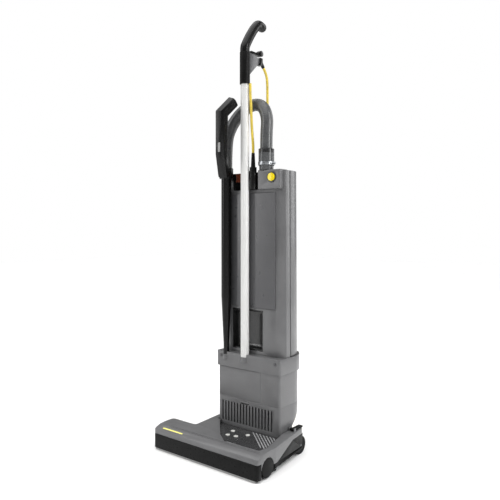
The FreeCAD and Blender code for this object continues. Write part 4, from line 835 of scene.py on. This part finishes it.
class CLEANER_OT_filter_bag(bpy.types.Operator):
    """Fleece filter bag, crowned and creased"""
    bl_idname = "cleaner.filter_bag"
    bl_label = "Filter bag"

    def execute(self, context):
        low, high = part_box("filter_bag")
        centre, half = (low + high) / 2, (high - low) / 2
        bm = bmesh.new()
        bmesh.ops.create_cube(bm, size=2.0)
        bmesh.ops.subdivide_edges(bm, edges=bm.edges, cuts=BAG_CUTS, use_grid_fill=True)
        for vert in bm.verts:
            p = vert.co.copy()
            # The faces crown outwards, the corners pull in, and the fleece creases between them.
            a, b, c = (1 - v * v for v in p)
            crown = min(1.0, a * b + a * c + b * c)
            crease = BAG_CREASE * noise.noise(Vector(v * d for v, d in zip(p, BAG_CREASE_DENSITY)))
            side = BAG_SIDE + BAG_SIDE_CROWN * crown + crease
            # The left and right faces fold in along a gusset.
            gusset = BAG_GUSSET * c * math.cos(p.y * math.pi / 2) if abs(p.x) > 0.99 else 0.0
            end = BAG_END + BAG_END_CROWN * crown
            vert.co = centre + Vector((p.x * half.x * (side - gusset), p.y * half.y * side,
                                       p.z * half.z * end))
        bmesh.ops.recalc_face_normals(bm, faces=bm.faces)
        bag = new_piece("fleece_bag", bm, "upright", "fleece")
        smooth = bag.modifiers.new("Smooth fleece", "SUBSURF")
        smooth.levels = smooth.render_levels = 1
        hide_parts("filter_bag")
        return {"FINISHED"}


class CLEANER_OT_wand_and_handle(bpy.types.Operator):
    """Handle tube with its grip and hook, and the suction wand"""
    bl_idname = "cleaner.wand_and_handle"
    bl_label = "Handle and wand"

    def execute(self, context):
        for node, finish, radius in (
                ("handle_tube", "tube", 0.8), ("handle_sleeve", "black", 1.0),
                ("handle_grip", "smooth_black", 1.0),
                ("hook_bracket", "panel", 1.0), ("cord_hook", "smooth_black", 1.2),
                ("cord_clip", "smooth_black", 1.0),
                ("lead_socket", "smooth_black", 1.0), ("wand_tube", "smooth_black", 0.8),
                ("wand_grip", "smooth_black", 1.6), ("grip_inlay", "pale", 0.4),
                ("hose_cuff", "cuff", 1.0), ("hose_clamp", "steel", 0.4)):
            softened(node, finish, radius)
        return {"FINISHED"}


class CLEANER_PT_sidebar(bpy.types.Panel):
    """Sidebar panel with the sizes, the colours and one button for each group of pieces"""
    bl_idname = "CLEANER_PT_sidebar"
    bl_label = "Upright vacuum cleaner"
    bl_space_type = "VIEW_3D"
    bl_region_type = "UI"
    bl_category = "Cleaner"

    def draw(self, context):
        column = self.layout.column()
        for group in (context.scene.cleaner_sizes, context.scene.cleaner_colours):
            for name in group.__annotations__:
                column.prop(group, name)
        for operator in OPERATORS:
            column.operator(operator.bl_idname)


OPERATORS = (CLEANER_OT_stage, CLEANER_OT_mains_cord, CLEANER_OT_hose, CLEANER_OT_head, CLEANER_OT_bristles,
             CLEANER_OT_wheels, CLEANER_OT_housing, CLEANER_OT_bag_housing, CLEANER_OT_filter_bag,
             CLEANER_OT_wand_and_handle)
CLASSES = (CleanerSizes, CleanerColours, *OPERATORS, CLEANER_PT_sidebar)


def register():
    for item in CLASSES:
        bpy.utils.register_class(item)
    bpy.types.Scene.cleaner_sizes = bpy.props.PointerProperty(type=CleanerSizes)
    bpy.types.Scene.cleaner_colours = bpy.props.PointerProperty(type=CleanerColours)


def unregister():
    del bpy.types.Scene.cleaner_colours
    del bpy.types.Scene.cleaner_sizes
    for item in reversed(CLASSES):
        bpy.utils.unregister_class(item)


def main():
    register()
    make_materials()
    for operator in OPERATORS:
        group, name = operator.bl_idname.split(".")
        getattr(getattr(bpy.ops, group), name)()


if __name__ == "__main__":
    main()
